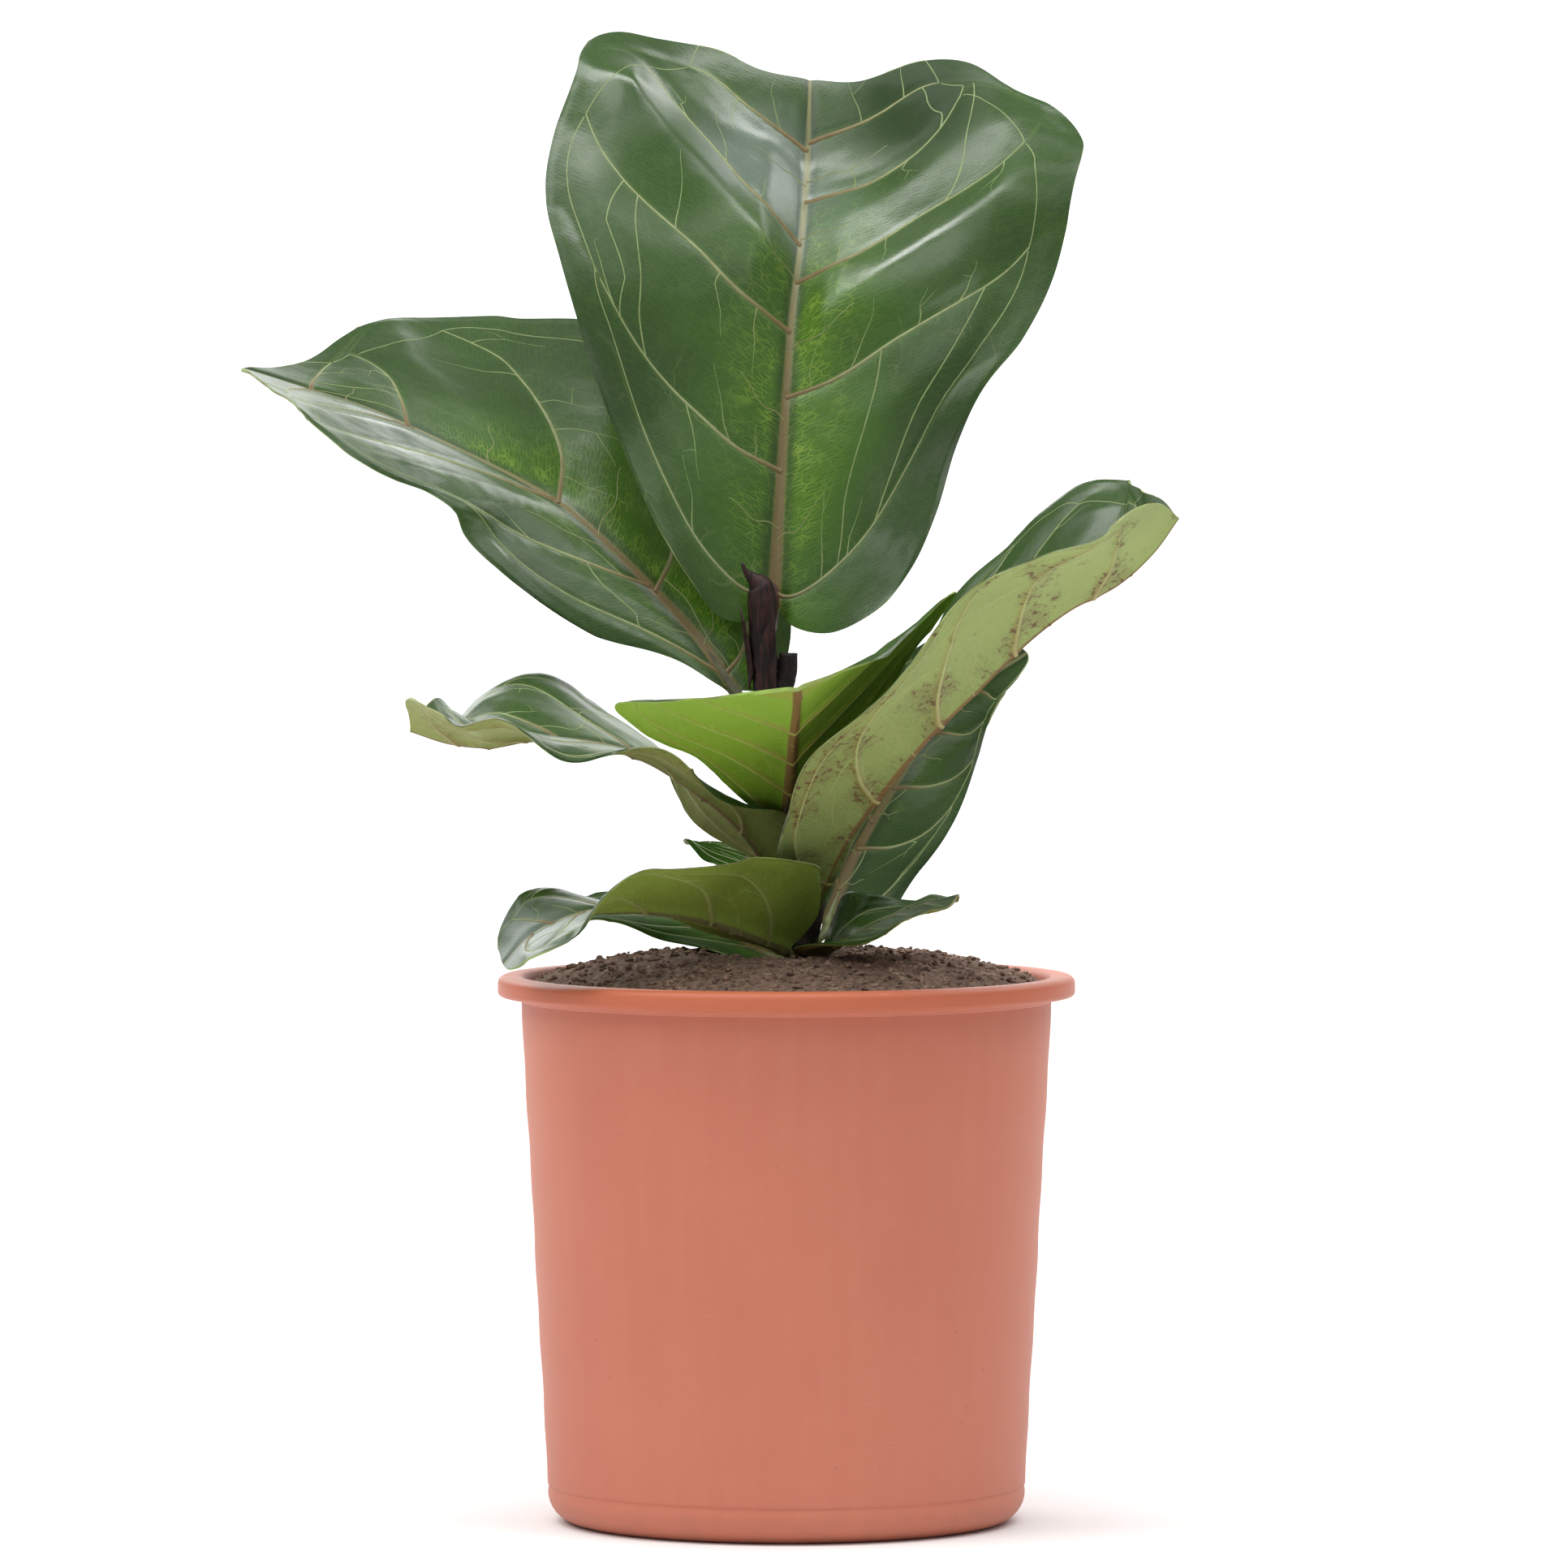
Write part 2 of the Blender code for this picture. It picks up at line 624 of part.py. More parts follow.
def build_leaf(name, leaf, parts, cutters, surface, stem_room):
    blade = build_blade(name, leaf, parts, surface)
    path, radii = petiole_path(leaf)
    petiole = hide(add_object(f"{name}_petiole", tube_mesh(name, path, radii, cutters, bevel_resolution=1), cutters))
    add_boolean(blade, petiole, "UNION")
    add_boolean(blade, stem_room, "DIFFERENCE")


def stem_tube(name, collection, grown):
    """The stem as a tube, a little wider all round by the length given."""
    path = smooth_path(STEM_PATH, 3)
    path[:, 0] = [stem_axis(height)[0] for height in path[:, 2]]
    swell = sum(np.exp(-(((path[:, 2] - scar) / SCAR_LENGTH) ** 2)) for scar in LEAF_SCARS)
    taper = np.interp(path[:, 2], *zip(*STEM_TAPER))
    radii = STEM_RADIUS * taper * (1 + SCAR_SWELL * swell) + grown
    radii[path[:, 2] < STEM_PLAIN_BELOW] = STEM_RADIUS + grown
    return tube_mesh(name, path, radii, collection)


def build_stem(parts, cutters, surface):
    stem = add_object("stem", stem_tube("stem", parts, 0), parts, surface)
    stub_radii = [STUB_RADIUS] * len(STUB_PATH)
    stub = hide(add_object("stub", tube_mesh("stub", STUB_PATH, stub_radii, cutters), cutters))
    add_boolean(stem, stub, "UNION")


def pot_profile():
    """From the floor's centre up the inner wall, over the rim and down the outer side."""
    corner = np.linspace(0, pi / 2, ROUNDING_STEPS + 1)
    rim_bottom = POT_HEIGHT - RIM_HEIGHT
    bead = [
        (RIM_RADIUS - RIM_ROUNDING * (1 - np.sin(angle)), POT_HEIGHT - RIM_ROUNDING * (1 - np.cos(angle)))
        for angle in corner
    ]
    foot = [
        (FOOT_RADIUS - FOOT_ROUNDING * (1 - np.cos(angle)), FOOT_ROUNDING * (1 - np.sin(angle)))
        for angle in corner
    ]
    return [
        (0, FLOOR),
        (FOOT_RADIUS - WALL - FLOOR_CORNER, FLOOR),
        (FOOT_RADIUS - WALL, FLOOR + FLOOR_CORNER),
        (NECK_RADIUS - WALL, rim_bottom),
        (NECK_RADIUS - WALL + INNER_LIP_OFFSETS[0], POT_HEIGHT - INNER_LIP_DEPTH),
        (NECK_RADIUS - WALL + INNER_LIP_OFFSETS[1], POT_HEIGHT),
        *bead,
        (RIM_RADIUS, rim_bottom + RIM_UNDERCUT),
        (RIM_RADIUS - RIM_UNDERCUT, rim_bottom),
        (NECK_RADIUS, rim_bottom),
        (FOOT_RADIUS, SEAM_HEIGHT + SEAM_WIDTH),
        (FOOT_RADIUS - SEAM_DEPTH, SEAM_HEIGHT),
        *foot,
        (0, 0),
    ]


def build_pot(parts, cutters, surface):
    pot = add_object("pot", turned_mesh("pot", pot_profile(), parts), parts, surface)
    work = bmesh.new()
    for hole in range(DRAIN_HOLES):
        angle = 2 * pi * (hole + 0.5) / DRAIN_HOLES
        place = Vector((DRAIN_RING * np.cos(angle), DRAIN_RING * np.sin(angle), FLOOR / 2)) * METRES
        made = bmesh.ops.create_cone(
            work, cap_ends=True, segments=DRAIN_SIDES, depth=4 * FLOOR * METRES,
            radius1=DRAIN_RADIUS * METRES, radius2=DRAIN_RADIUS * METRES,
        )
        bmesh.ops.translate(work, verts=made["verts"], vec=place)
    mesh = bpy.data.meshes.new("drain_holes")
    work.to_mesh(mesh)
    work.free()
    add_boolean(pot, hide(add_object("drain_holes", mesh, cutters)), "DIFFERENCE")


def soil_height(radius):
    """The soil's smooth height: domed, with a shallow dimple round the stem."""
    share = np.clip(radius / (NECK_RADIUS - WALL), 0, 1)
    dimple = SOIL_DIMPLE * np.exp(-((radius / SOIL_DIMPLE_WIDTH) ** 2))
    return SOIL_EDGE_HEIGHT + SOIL_DOME * (1 - share**3) - dimple


def build_soil(parts, cutters, surface):
    edge = NECK_RADIUS - WALL - GAP
    foot = FOOT_RADIUS - WALL - GAP
    radii = np.linspace(0, edge, SOIL_RINGS)
    top = [(radius, soil_height(radius)) for radius in radii[:-1]]
    profile = [
        *top,
        (edge, SOIL_EDGE_HEIGHT),
        (edge, POT_HEIGHT - RIM_HEIGHT - SOIL_BELOW_RIM),
        (foot, FLOOR + FLOOR_CORNER + GAP),
        (foot - FLOOR_CORNER, FLOOR + GAP),
        (0, FLOOR + GAP),
    ]
    mesh = turned_mesh("soil", profile, parts)
    for vertex in mesh.vertices:
        place = vertex.co / METRES
        radius = place.xy.length
        if place.z <= SOIL_EDGE_HEIGHT or radius > edge - GAP:
            continue
        crumbs = noise.noise(place / CRUMB_SIZE) + SMALL_CRUMB_SHARE * noise.noise(2 * place / CRUMB_SIZE)
        vertex.co.z += CRUMB_HEIGHT * crumbs * min(1, radius / CRUMB_FREE_RADIUS) * METRES
    soil = add_object("soil", mesh, parts, surface)
    depth = STEM_HOLE_TOP - STEM_HOLE_BOTTOM
    work = bmesh.new()
    bmesh.ops.create_cone(
        work, cap_ends=True, segments=STEM_HOLE_SIDES, depth=depth * METRES,
        radius1=STEM_HOLE_RADIUS * METRES, radius2=STEM_HOLE_RADIUS * METRES,
    )
    middle = Vector((STEM_PATH[0][0], 0, STEM_HOLE_BOTTOM + depth / 2)) * METRES
    bmesh.ops.translate(work, verts=work.verts, vec=middle)
    mesh = bpy.data.meshes.new("stem_hole")
    work.to_mesh(mesh)
    work.free()
    add_boolean(soil, hide(add_object("stem_hole", mesh, cutters)), "DIFFERENCE")


def main():
    clear_scene()
    parts = new_collection("potted_fiddle_leaf_fig")
    cutters = new_collection("cutters")
    terracotta = material("pot", (0.62, 0.22, 0.13), 0.45)
    earth = material("soil", (0.10, 0.065, 0.05), 0.95)
    bark = material("stem", (0.03, 0.018, 0.015), 0.7)
    papery = material("bud_scales", (0.05, 0.028, 0.02), 0.65)
    green = material("leaves", (0.05, 0.12, 0.03), 0.35)

    build_pot(parts, cutters, terracotta)
    build_soil(parts, cutters, earth)
    build_stem(parts, cutters, bark)
    sheath = tube_mesh("bud_sheath", SHEATH_PATH, SHEATH_RADII, parts)
    add_object("bud_sheath", sheath, parts, papery)

    stem_room = hide(add_object("stem_room", stem_tube("stem_room", cutters, GAP), cutters))
    for name, leaf in LEAVES.items():
        build_leaf(name, leaf, parts, cutters, green, stem_room)
    for name, scale in STIPULES.items():
        blade = build_blade(name, scale, parts, papery, ribs=False)
        add_boolean(blade, stem_room, "DIFFERENCE")


main()
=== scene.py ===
"""The looks of the potted fiddle leaf fig, laid out as a Blender add-on and run as a script.

Lengths are metres, apart from the stem and the leaves, which are in millimetres and degrees. The pot stands
on z = 0 with its axis on Z, and the plant's best side faces -Y. Each leaf is a midrib that runs through a few
points, a half outline on each side of it, and the folds, curls and waves of the blade.
"""

from dataclasses import dataclass
from math import pi, radians

import bmesh
import bpy
import numpy as np
from mathutils import Matrix, Vector, noise


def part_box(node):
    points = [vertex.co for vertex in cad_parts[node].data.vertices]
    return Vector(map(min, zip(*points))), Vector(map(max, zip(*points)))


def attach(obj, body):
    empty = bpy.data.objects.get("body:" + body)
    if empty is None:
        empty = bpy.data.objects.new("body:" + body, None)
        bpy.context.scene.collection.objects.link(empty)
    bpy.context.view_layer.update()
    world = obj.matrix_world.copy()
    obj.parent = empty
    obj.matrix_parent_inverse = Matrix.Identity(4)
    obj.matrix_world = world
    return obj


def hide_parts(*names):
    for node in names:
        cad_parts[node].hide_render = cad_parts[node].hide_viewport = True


bl_info = {
    "name": "Potted fiddle leaf fig",
    "version": (1, 0, 0),
    "blender": (4, 5, 0),
    "location": "3D View > Sidebar > Potted Fig",
    "description": "Builds a young fiddle leaf fig in a round plastic nursery pot, piece by piece",
    "category": "Object",
}

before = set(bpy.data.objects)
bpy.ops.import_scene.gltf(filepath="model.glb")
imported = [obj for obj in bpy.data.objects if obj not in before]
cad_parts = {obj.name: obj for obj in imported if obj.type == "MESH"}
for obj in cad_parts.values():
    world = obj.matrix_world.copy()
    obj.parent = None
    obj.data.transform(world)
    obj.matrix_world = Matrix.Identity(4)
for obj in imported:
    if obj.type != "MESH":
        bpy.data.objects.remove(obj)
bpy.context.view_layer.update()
POT_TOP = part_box("pot")[1]

MM = 0.001
BODY = "root"
RANDOM_SEED = 7

# The pot and the soil, in metres
POT_FLOOR = 0.0026
RIM_ROUNDING = 0.0026
RIM_LOWER_ROUNDING = 0.0014
NECK_FILLET = 0.0016
FOOT_ROUNDING = 0.010
SEAM_HEIGHT = 0.012
POT_STEPS = 160
DRAIN_HOLES = 8
DRAIN_RADIUS = 0.0045
DRAIN_RING = 0.056
SOIL_BOTTOM = 0.003
SOIL_RINGS = 130
SOIL_STEPS = 220
DIMPLE_WIDTH = 0.020
QUIET_RADIUS = 0.016
SMALLEST_CRUMB = 0.0004
CRUMB_SPREAD = 0.0010

# The stem, its stub and the bud sheath, in millimetres
STEM_PATH = [
    (4, 0, 133), (4, 0, 186), (6.5, 0, 195), (8, 0, 203), (5.2, 0, 215), (2, 0, 228),
    (-1.4, 0, 240), (-4, 0, 252), (-5.6, 0, 264), (-6.6, 0, 276), (-7.8, 0, 290), (-7.8, 0, 300),
]
LEAF_SCARS = (190, 204, 211, 220, 246, 264, 282)
STUB_PATH = [(-5.5, -0.5, 271), (-1.0, -0.8, 275), (0.3, -0.8, 279), (0.6, -0.8, 286)]
STUB_RADIUS = 3.1
SHEATH_PATH = [
    (-7.4, 0, 284), (-7.8, 0, 296), (-7.9, -0.1, 303), (-8.8, -0.6, 308),
    (-11.0, -1.6, 310.5), (-13.0, -2.4, 312.5), (-14.6, -3.0, 315.5),
]
SHEATH_RADII = (3.5, 4.6, 4.9, 4.2, 2.3, 1.0, 0.35)

# The blades' veins and folds. Radii, depths and widths are in millimetres.
VEIN_TURN = 0.095
VEIN_LIMIT = 0.96
CREST = 0.64
RIDGE_REACH = 1.5
DISH_REACH = 48.0
GROOVE_DEPTH = 0.35
CHANNEL_DEPTH = 0.6
MARGIN_ROLL = 0.8
SCALE_THICKNESS = 0.45
VEIN_SECTION = [(-1.25, -0.5), (-0.75, 0.35), (0, 0.6), (0.75, 0.35), (1.25, -0.5)]
SIDE_VEIN_STEPS = 40
LOOP_STEPS = 24
BRANCH_STEPS = 20
SPUR_STEPS = 16
LOOP_RADIUS = 0.17
BRANCH_RADIUS = 0.24

# Small colours of the finishes
# The first two are painted light in leaf colour: a pale painted sheen and a deep green painted shade.
PAINTED_SHEEN = (0.25, 0.29, 0.29)
DEEP_SHADE = (0.012, 0.030, 0.006)
LEAF_DUST = (0.62, 0.64, 0.56)
LEAF_EDGE = (0.16, 0.17, 0.05)
POT_STREAK = (0.75, 0.36, 0.25)
POT_SPECK = (0.30, 0.10, 0.07)
POT_SCUFF = (0.80, 0.50, 0.40)
FOOT_DUST = (0.35, 0.16, 0.11)
SOIL_FIBRE = (0.27, 0.18, 0.11)
GREEN_BARK = (0.06, 0.055, 0.025)
LENTICEL = (0.16, 0.11, 0.08)

# The stage: camera, lamps, floor and wall
CAMERA_PLACE = (-0.0008, -3.5, 0.392)
CAMERA_DOWN = 2.44
SENSOR_WIDTH = 36
PLANT = (0, 0, 0.28)
WALL_MIDDLE = (0, 4.4, 1.1)
LAMPS = [
    ("overhead softbox", (0.0, -0.44, 1.92), PLANT, (1.9, 0.55), 25),
    ("left softbox", (-1.15, -0.47, 1.44), PLANT, (1.8, 0.9), 12),
    ("front softbox", (-0.24, -1.37, 1.26), PLANT, (1.1, 0.8), 3),
    ("right softbox", (1.09, -0.51, 1.48), PLANT, (1.6, 0.8), 4),
    ("right back softbox", (1.07, 0.75, 1.37), PLANT, (1.1, 0.8), 8),
    ("left back softbox", (-0.95, 1.13, 1.13), PLANT, (1.1, 0.8), 9),
    ("back panel", (0.0, 1.44, 1.18), PLANT, (1.3, 0.7), 3),
    ("backdrop light", (0, 2.5, 2.9), WALL_MIDDLE, (3.6, 0.6), 150),
]
FLOOR_FRONT = -8.0
FLOOR_SIDE = 6
BEND_START = 4.0
BEND_RADIUS = 1.0
WALL_TOP = 3.2

# Half outlines of blades: the distance from the midrib in half widths, and along it in lengths
FIDDLE = [
    (0.03, 0.0), (0.16, -0.05), (0.34, -0.04), (0.47, 0.05), (0.51, 0.18), (0.53, 0.32), (0.64, 0.48),
    (0.82, 0.63), (0.98, 0.78), (0.96, 0.90), (0.76, 0.985), (0.48, 1.02), (0.22, 1.01), (0.0, 1.0),
]
OVAL = [
    (0.03, 0.0), (0.25, -0.05), (0.55, 0.0), (0.75, 0.14), (0.84, 0.30), (0.92, 0.46), (1.0, 0.62),
    (0.97, 0.76), (0.80, 0.88), (0.50, 0.96), (0.22, 0.985), (0.0, 1.0),
]
EGG = [
    (0.03, 0.0), (0.12, -0.03), (0.28, 0.02), (0.46, 0.14), (0.64, 0.28), (0.84, 0.44), (1.0, 0.62),
    (0.97, 0.76), (0.80, 0.88), (0.50, 0.96), (0.22, 0.985), (0.0, 1.0),
]
LANCE = [(0.5, 0.0), (0.85, 0.12), (1.0, 0.3), (0.95, 0.5), (0.72, 0.72), (0.4, 0.9), (0.0, 1.0)]


# Curves and leaf shapes

def smooth_path(points, steps):
    """A smooth curve through the points, with as many steps between each two."""
    points = np.asarray(points, float)
    knots = np.concatenate([[0], np.cumsum(np.sqrt(np.linalg.norm(np.diff(points, axis=0), axis=1)))])
    gaps = np.diff(knots)[:, None]
    slopes = np.diff(points, axis=0) / gaps
    inner = (slopes[:-1] * gaps[1:] + slopes[1:] * gaps[:-1]) / (gaps[:-1] + gaps[1:])
    slopes = np.vstack([slopes[:1], inner, slopes[-1:]])
    u = np.arange(steps)[:, None] / steps
    path = []
    for i, gap in enumerate(gaps):
        path.append(
            (2 * u**3 - 3 * u**2 + 1) * points[i]
            + (u**3 - 2 * u**2 + u) * gap * slopes[i]
            + (3 * u**2 - 2 * u**3) * points[i + 1]
            + (u**3 - u**2) * gap * slopes[i + 1]
        )
    return np.vstack([*path, points[-1:]])


def lengths_along(path):
    return np.concatenate([[0], np.cumsum(np.linalg.norm(np.diff(path, axis=0), axis=1))])


def read_along(path, lengths, where):
    return np.stack([np.interp(where, lengths, column) for column in path.T], -1)


def unit(vectors):
    return vectors / np.maximum(np.linalg.norm(vectors, axis=-1, keepdims=True), 1e-12)


def eased(values, place):
    """Values at equal steps from base to apex, read with a soft change between them."""
    values = np.asarray(values, float)
    last = len(values) - 1
    x = np.clip(place, 0, 1) * last
    first = np.minimum(x.astype(int), last - 1)
    u = x - first
    u = u * u * (3 - 2 * u)
    if values.ndim > 1:
        u = u[..., None]
    return values[first] * (1 - u) + values[first + 1] * u


def soft_step(value, low, high):
    u = np.clip((value - low) / (high - low), 0, 1)
    return u * u * (3 - 2 * u)


def noise_at(places, scale, seed=0.0):
    """Smooth noise from -1 to 1 at an array of places, in the unit of scale."""
    shape = places.shape[:-1]
    shifted = places.reshape(-1, places.shape[-1]) / scale + seed
    if shifted.shape[1] == 2:
        shifted = np.column_stack([shifted, np.full(len(shifted), seed)])
    return np.array([noise.noise(Vector(place)) for place in shifted]).reshape(shape)


@dataclass
class Leaf:
    """One leaf, in millimetres and degrees. Pairs are for the side 0 and the side 1 of the midrib."""

    petiole: tuple
    spine: list
    facing: list
    half_widths: tuple
    outlines: tuple
    fold: tuple
    curl: tuple = ((0, 0), (0, 0))
    wave: float = 2.0
    wave_count: float = 2.0
    wave_start: tuple = (0.0, 0.5)
    sweep: float = 0.4
    droop: tuple = (0, 0)
    corners: tuple = (0.2, 0.8)
    veins: tuple = ((0.10, 0.33, 0.54, 0.72, 0.88), (0.02, 0.24, 0.45, 0.64, 0.81))
    rises: tuple = ((0.30, 0.14, 0.14, 0.16, 0.16), (0.30, 0.14, 0.14, 0.16, 0.16))
    petiole_radius: float = 1.5
    row_power: float = 1.6

    def __post_init__(self):
        self.midrib = smooth_path(self.spine, 16)
        self.along = lengths_along(self.midrib)
        self.length = self.along[-1]
        self.tangents = unit(np.gradient(self.midrib, axis=0))
        self.edges = []
        for outline, half_width in zip(self.outlines, self.half_widths):
            edge = smooth_path(np.array(outline) * (half_width, self.length), 12)
            along = lengths_along(edge)
            self.edges.append((edge, along / along[-1]))

    def flat(self, side, row, across):
        """The place on the flattened half blade: distance from the midrib, and along it."""
        edge, along = self.edges[side]
        low, high = self.corners
        start = read_along(edge, along, np.zeros(1))[0]
        midrib = np.stack([0 * row, self.length * row**self.row_power], -1)
        margin = read_along(edge, along, low + row * (high - low))
        base = read_along(edge, along, across * low) - start * (1 - across[..., None])
        apex = read_along(edge, along, 1 - across * (1 - high))
        base_corner = read_along(edge, along, np.array([low]))[0]
        apex_corner = read_along(edge, along, np.array([high]))[0]
        a = across[..., None]
        u = row[..., None]
        corners = (1 - u) * a * base_corner + u * (1 - a) * np.array([0, self.length]) + u * a * apex_corner
        return (1 - a) * midrib + a * margin + (1 - u) * base + u * apex - corners

    def frame_at(self, station):
        """Midrib point, its direction, the way the upper face looks, and the way to side 1."""
        inside = np.clip(station, 0, self.length)
        along = unit(read_along(self.tangents, self.along, inside))
        point = read_along(self.midrib, self.along, inside) + along * (station - inside)[..., None]
        up = eased(self.facing, inside / self.length)
        up = unit(up - along * (up * along).sum(-1, keepdims=True))
        return point, along, up, np.cross(along, up)

    def surface(self, side, row, across):
        """Points of the smooth upper face. Row and across run from 0 to 1, as arrays of one shape."""
        flat = self.flat(side, row, across)
        x = flat[..., 0]
        y = flat[..., 1]
        station = y - self.sweep * x
        point, along, up, sideways = self.frame_at(station)
        place = np.clip(station / self.length, 0, 1)
        fold = np.radians(eased(self.fold[side], place))
        bend = np.radians(eased(self.curl[side], place)) / self.half_widths[side]
        bend = np.where(abs(bend) < 1e-6, 1e-6, bend)
        out = (np.sin(fold + bend * x) - np.sin(fold)) / bend
        rise = (np.cos(fold) - np.cos(fold + bend * x)) / bend
        phase = self.wave_count * y / self.length + self.wave_start[side]
        rise = rise + self.wave * across**2 * np.sin(2 * pi * phase)
        rise = rise - self.droop[side] * np.clip((row - 0.7) / 0.3, 0, 1) ** 2 * across
        if side == 0:
            out = -out
        shift = self.sweep * x
        return point + sideways * out[..., None] + up * rise[..., None] + along * shift[..., None]

    def vein_reach(self, side):
        """How far across each side vein goes before it turns up and loops to the next."""
        starts = np.array(self.veins[side]) ** (1 / self.row_power)
        return np.interp(starts, [0.05, 0.4, 0.6, 0.7, 0.83, 0.95], [0.74, 0.84, 0.90, 0.75, 0.55, 0.48])

    def vein_knots(self, side, across):
        """The rows at which the side veins cross one column, with one more at each end."""
        starts = np.array(self.veins[side]) ** (1 / self.row_power)
        turned = np.clip(across / self.vein_reach(side), 0, 1.1)
        rise = across * np.array(self.rises[side]) + VEIN_TURN * turned**8
        room = VEIN_LIMIT - starts
        knots = starts + room * np.tanh(rise / room)
        return np.concatenate([[knots[0] - 0.3], knots, [knots[-1] + 0.18]])

    def vein_numbers(self, side, row, across):
        """Counts up the side veins from base to apex: a whole number lies on a vein."""
        numbers = np.empty(row.shape)
        for j in range(row.shape[1]):
            knots = self.vein_knots(side, across[0, j])
            numbers[:, j] = np.interp(row[:, j], knots, np.arange(-1, len(knots) - 1))
        return numbers

    def vein_row(self, side, number, across):
        """The row of each vein number at each place across."""
        knots = [self.vein_knots(side, place) for place in across]
        rows = [np.interp(value, np.arange(-1, len(row) - 1), row) for value, row in zip(number, knots)]
        return np.clip(rows, 0, 1)


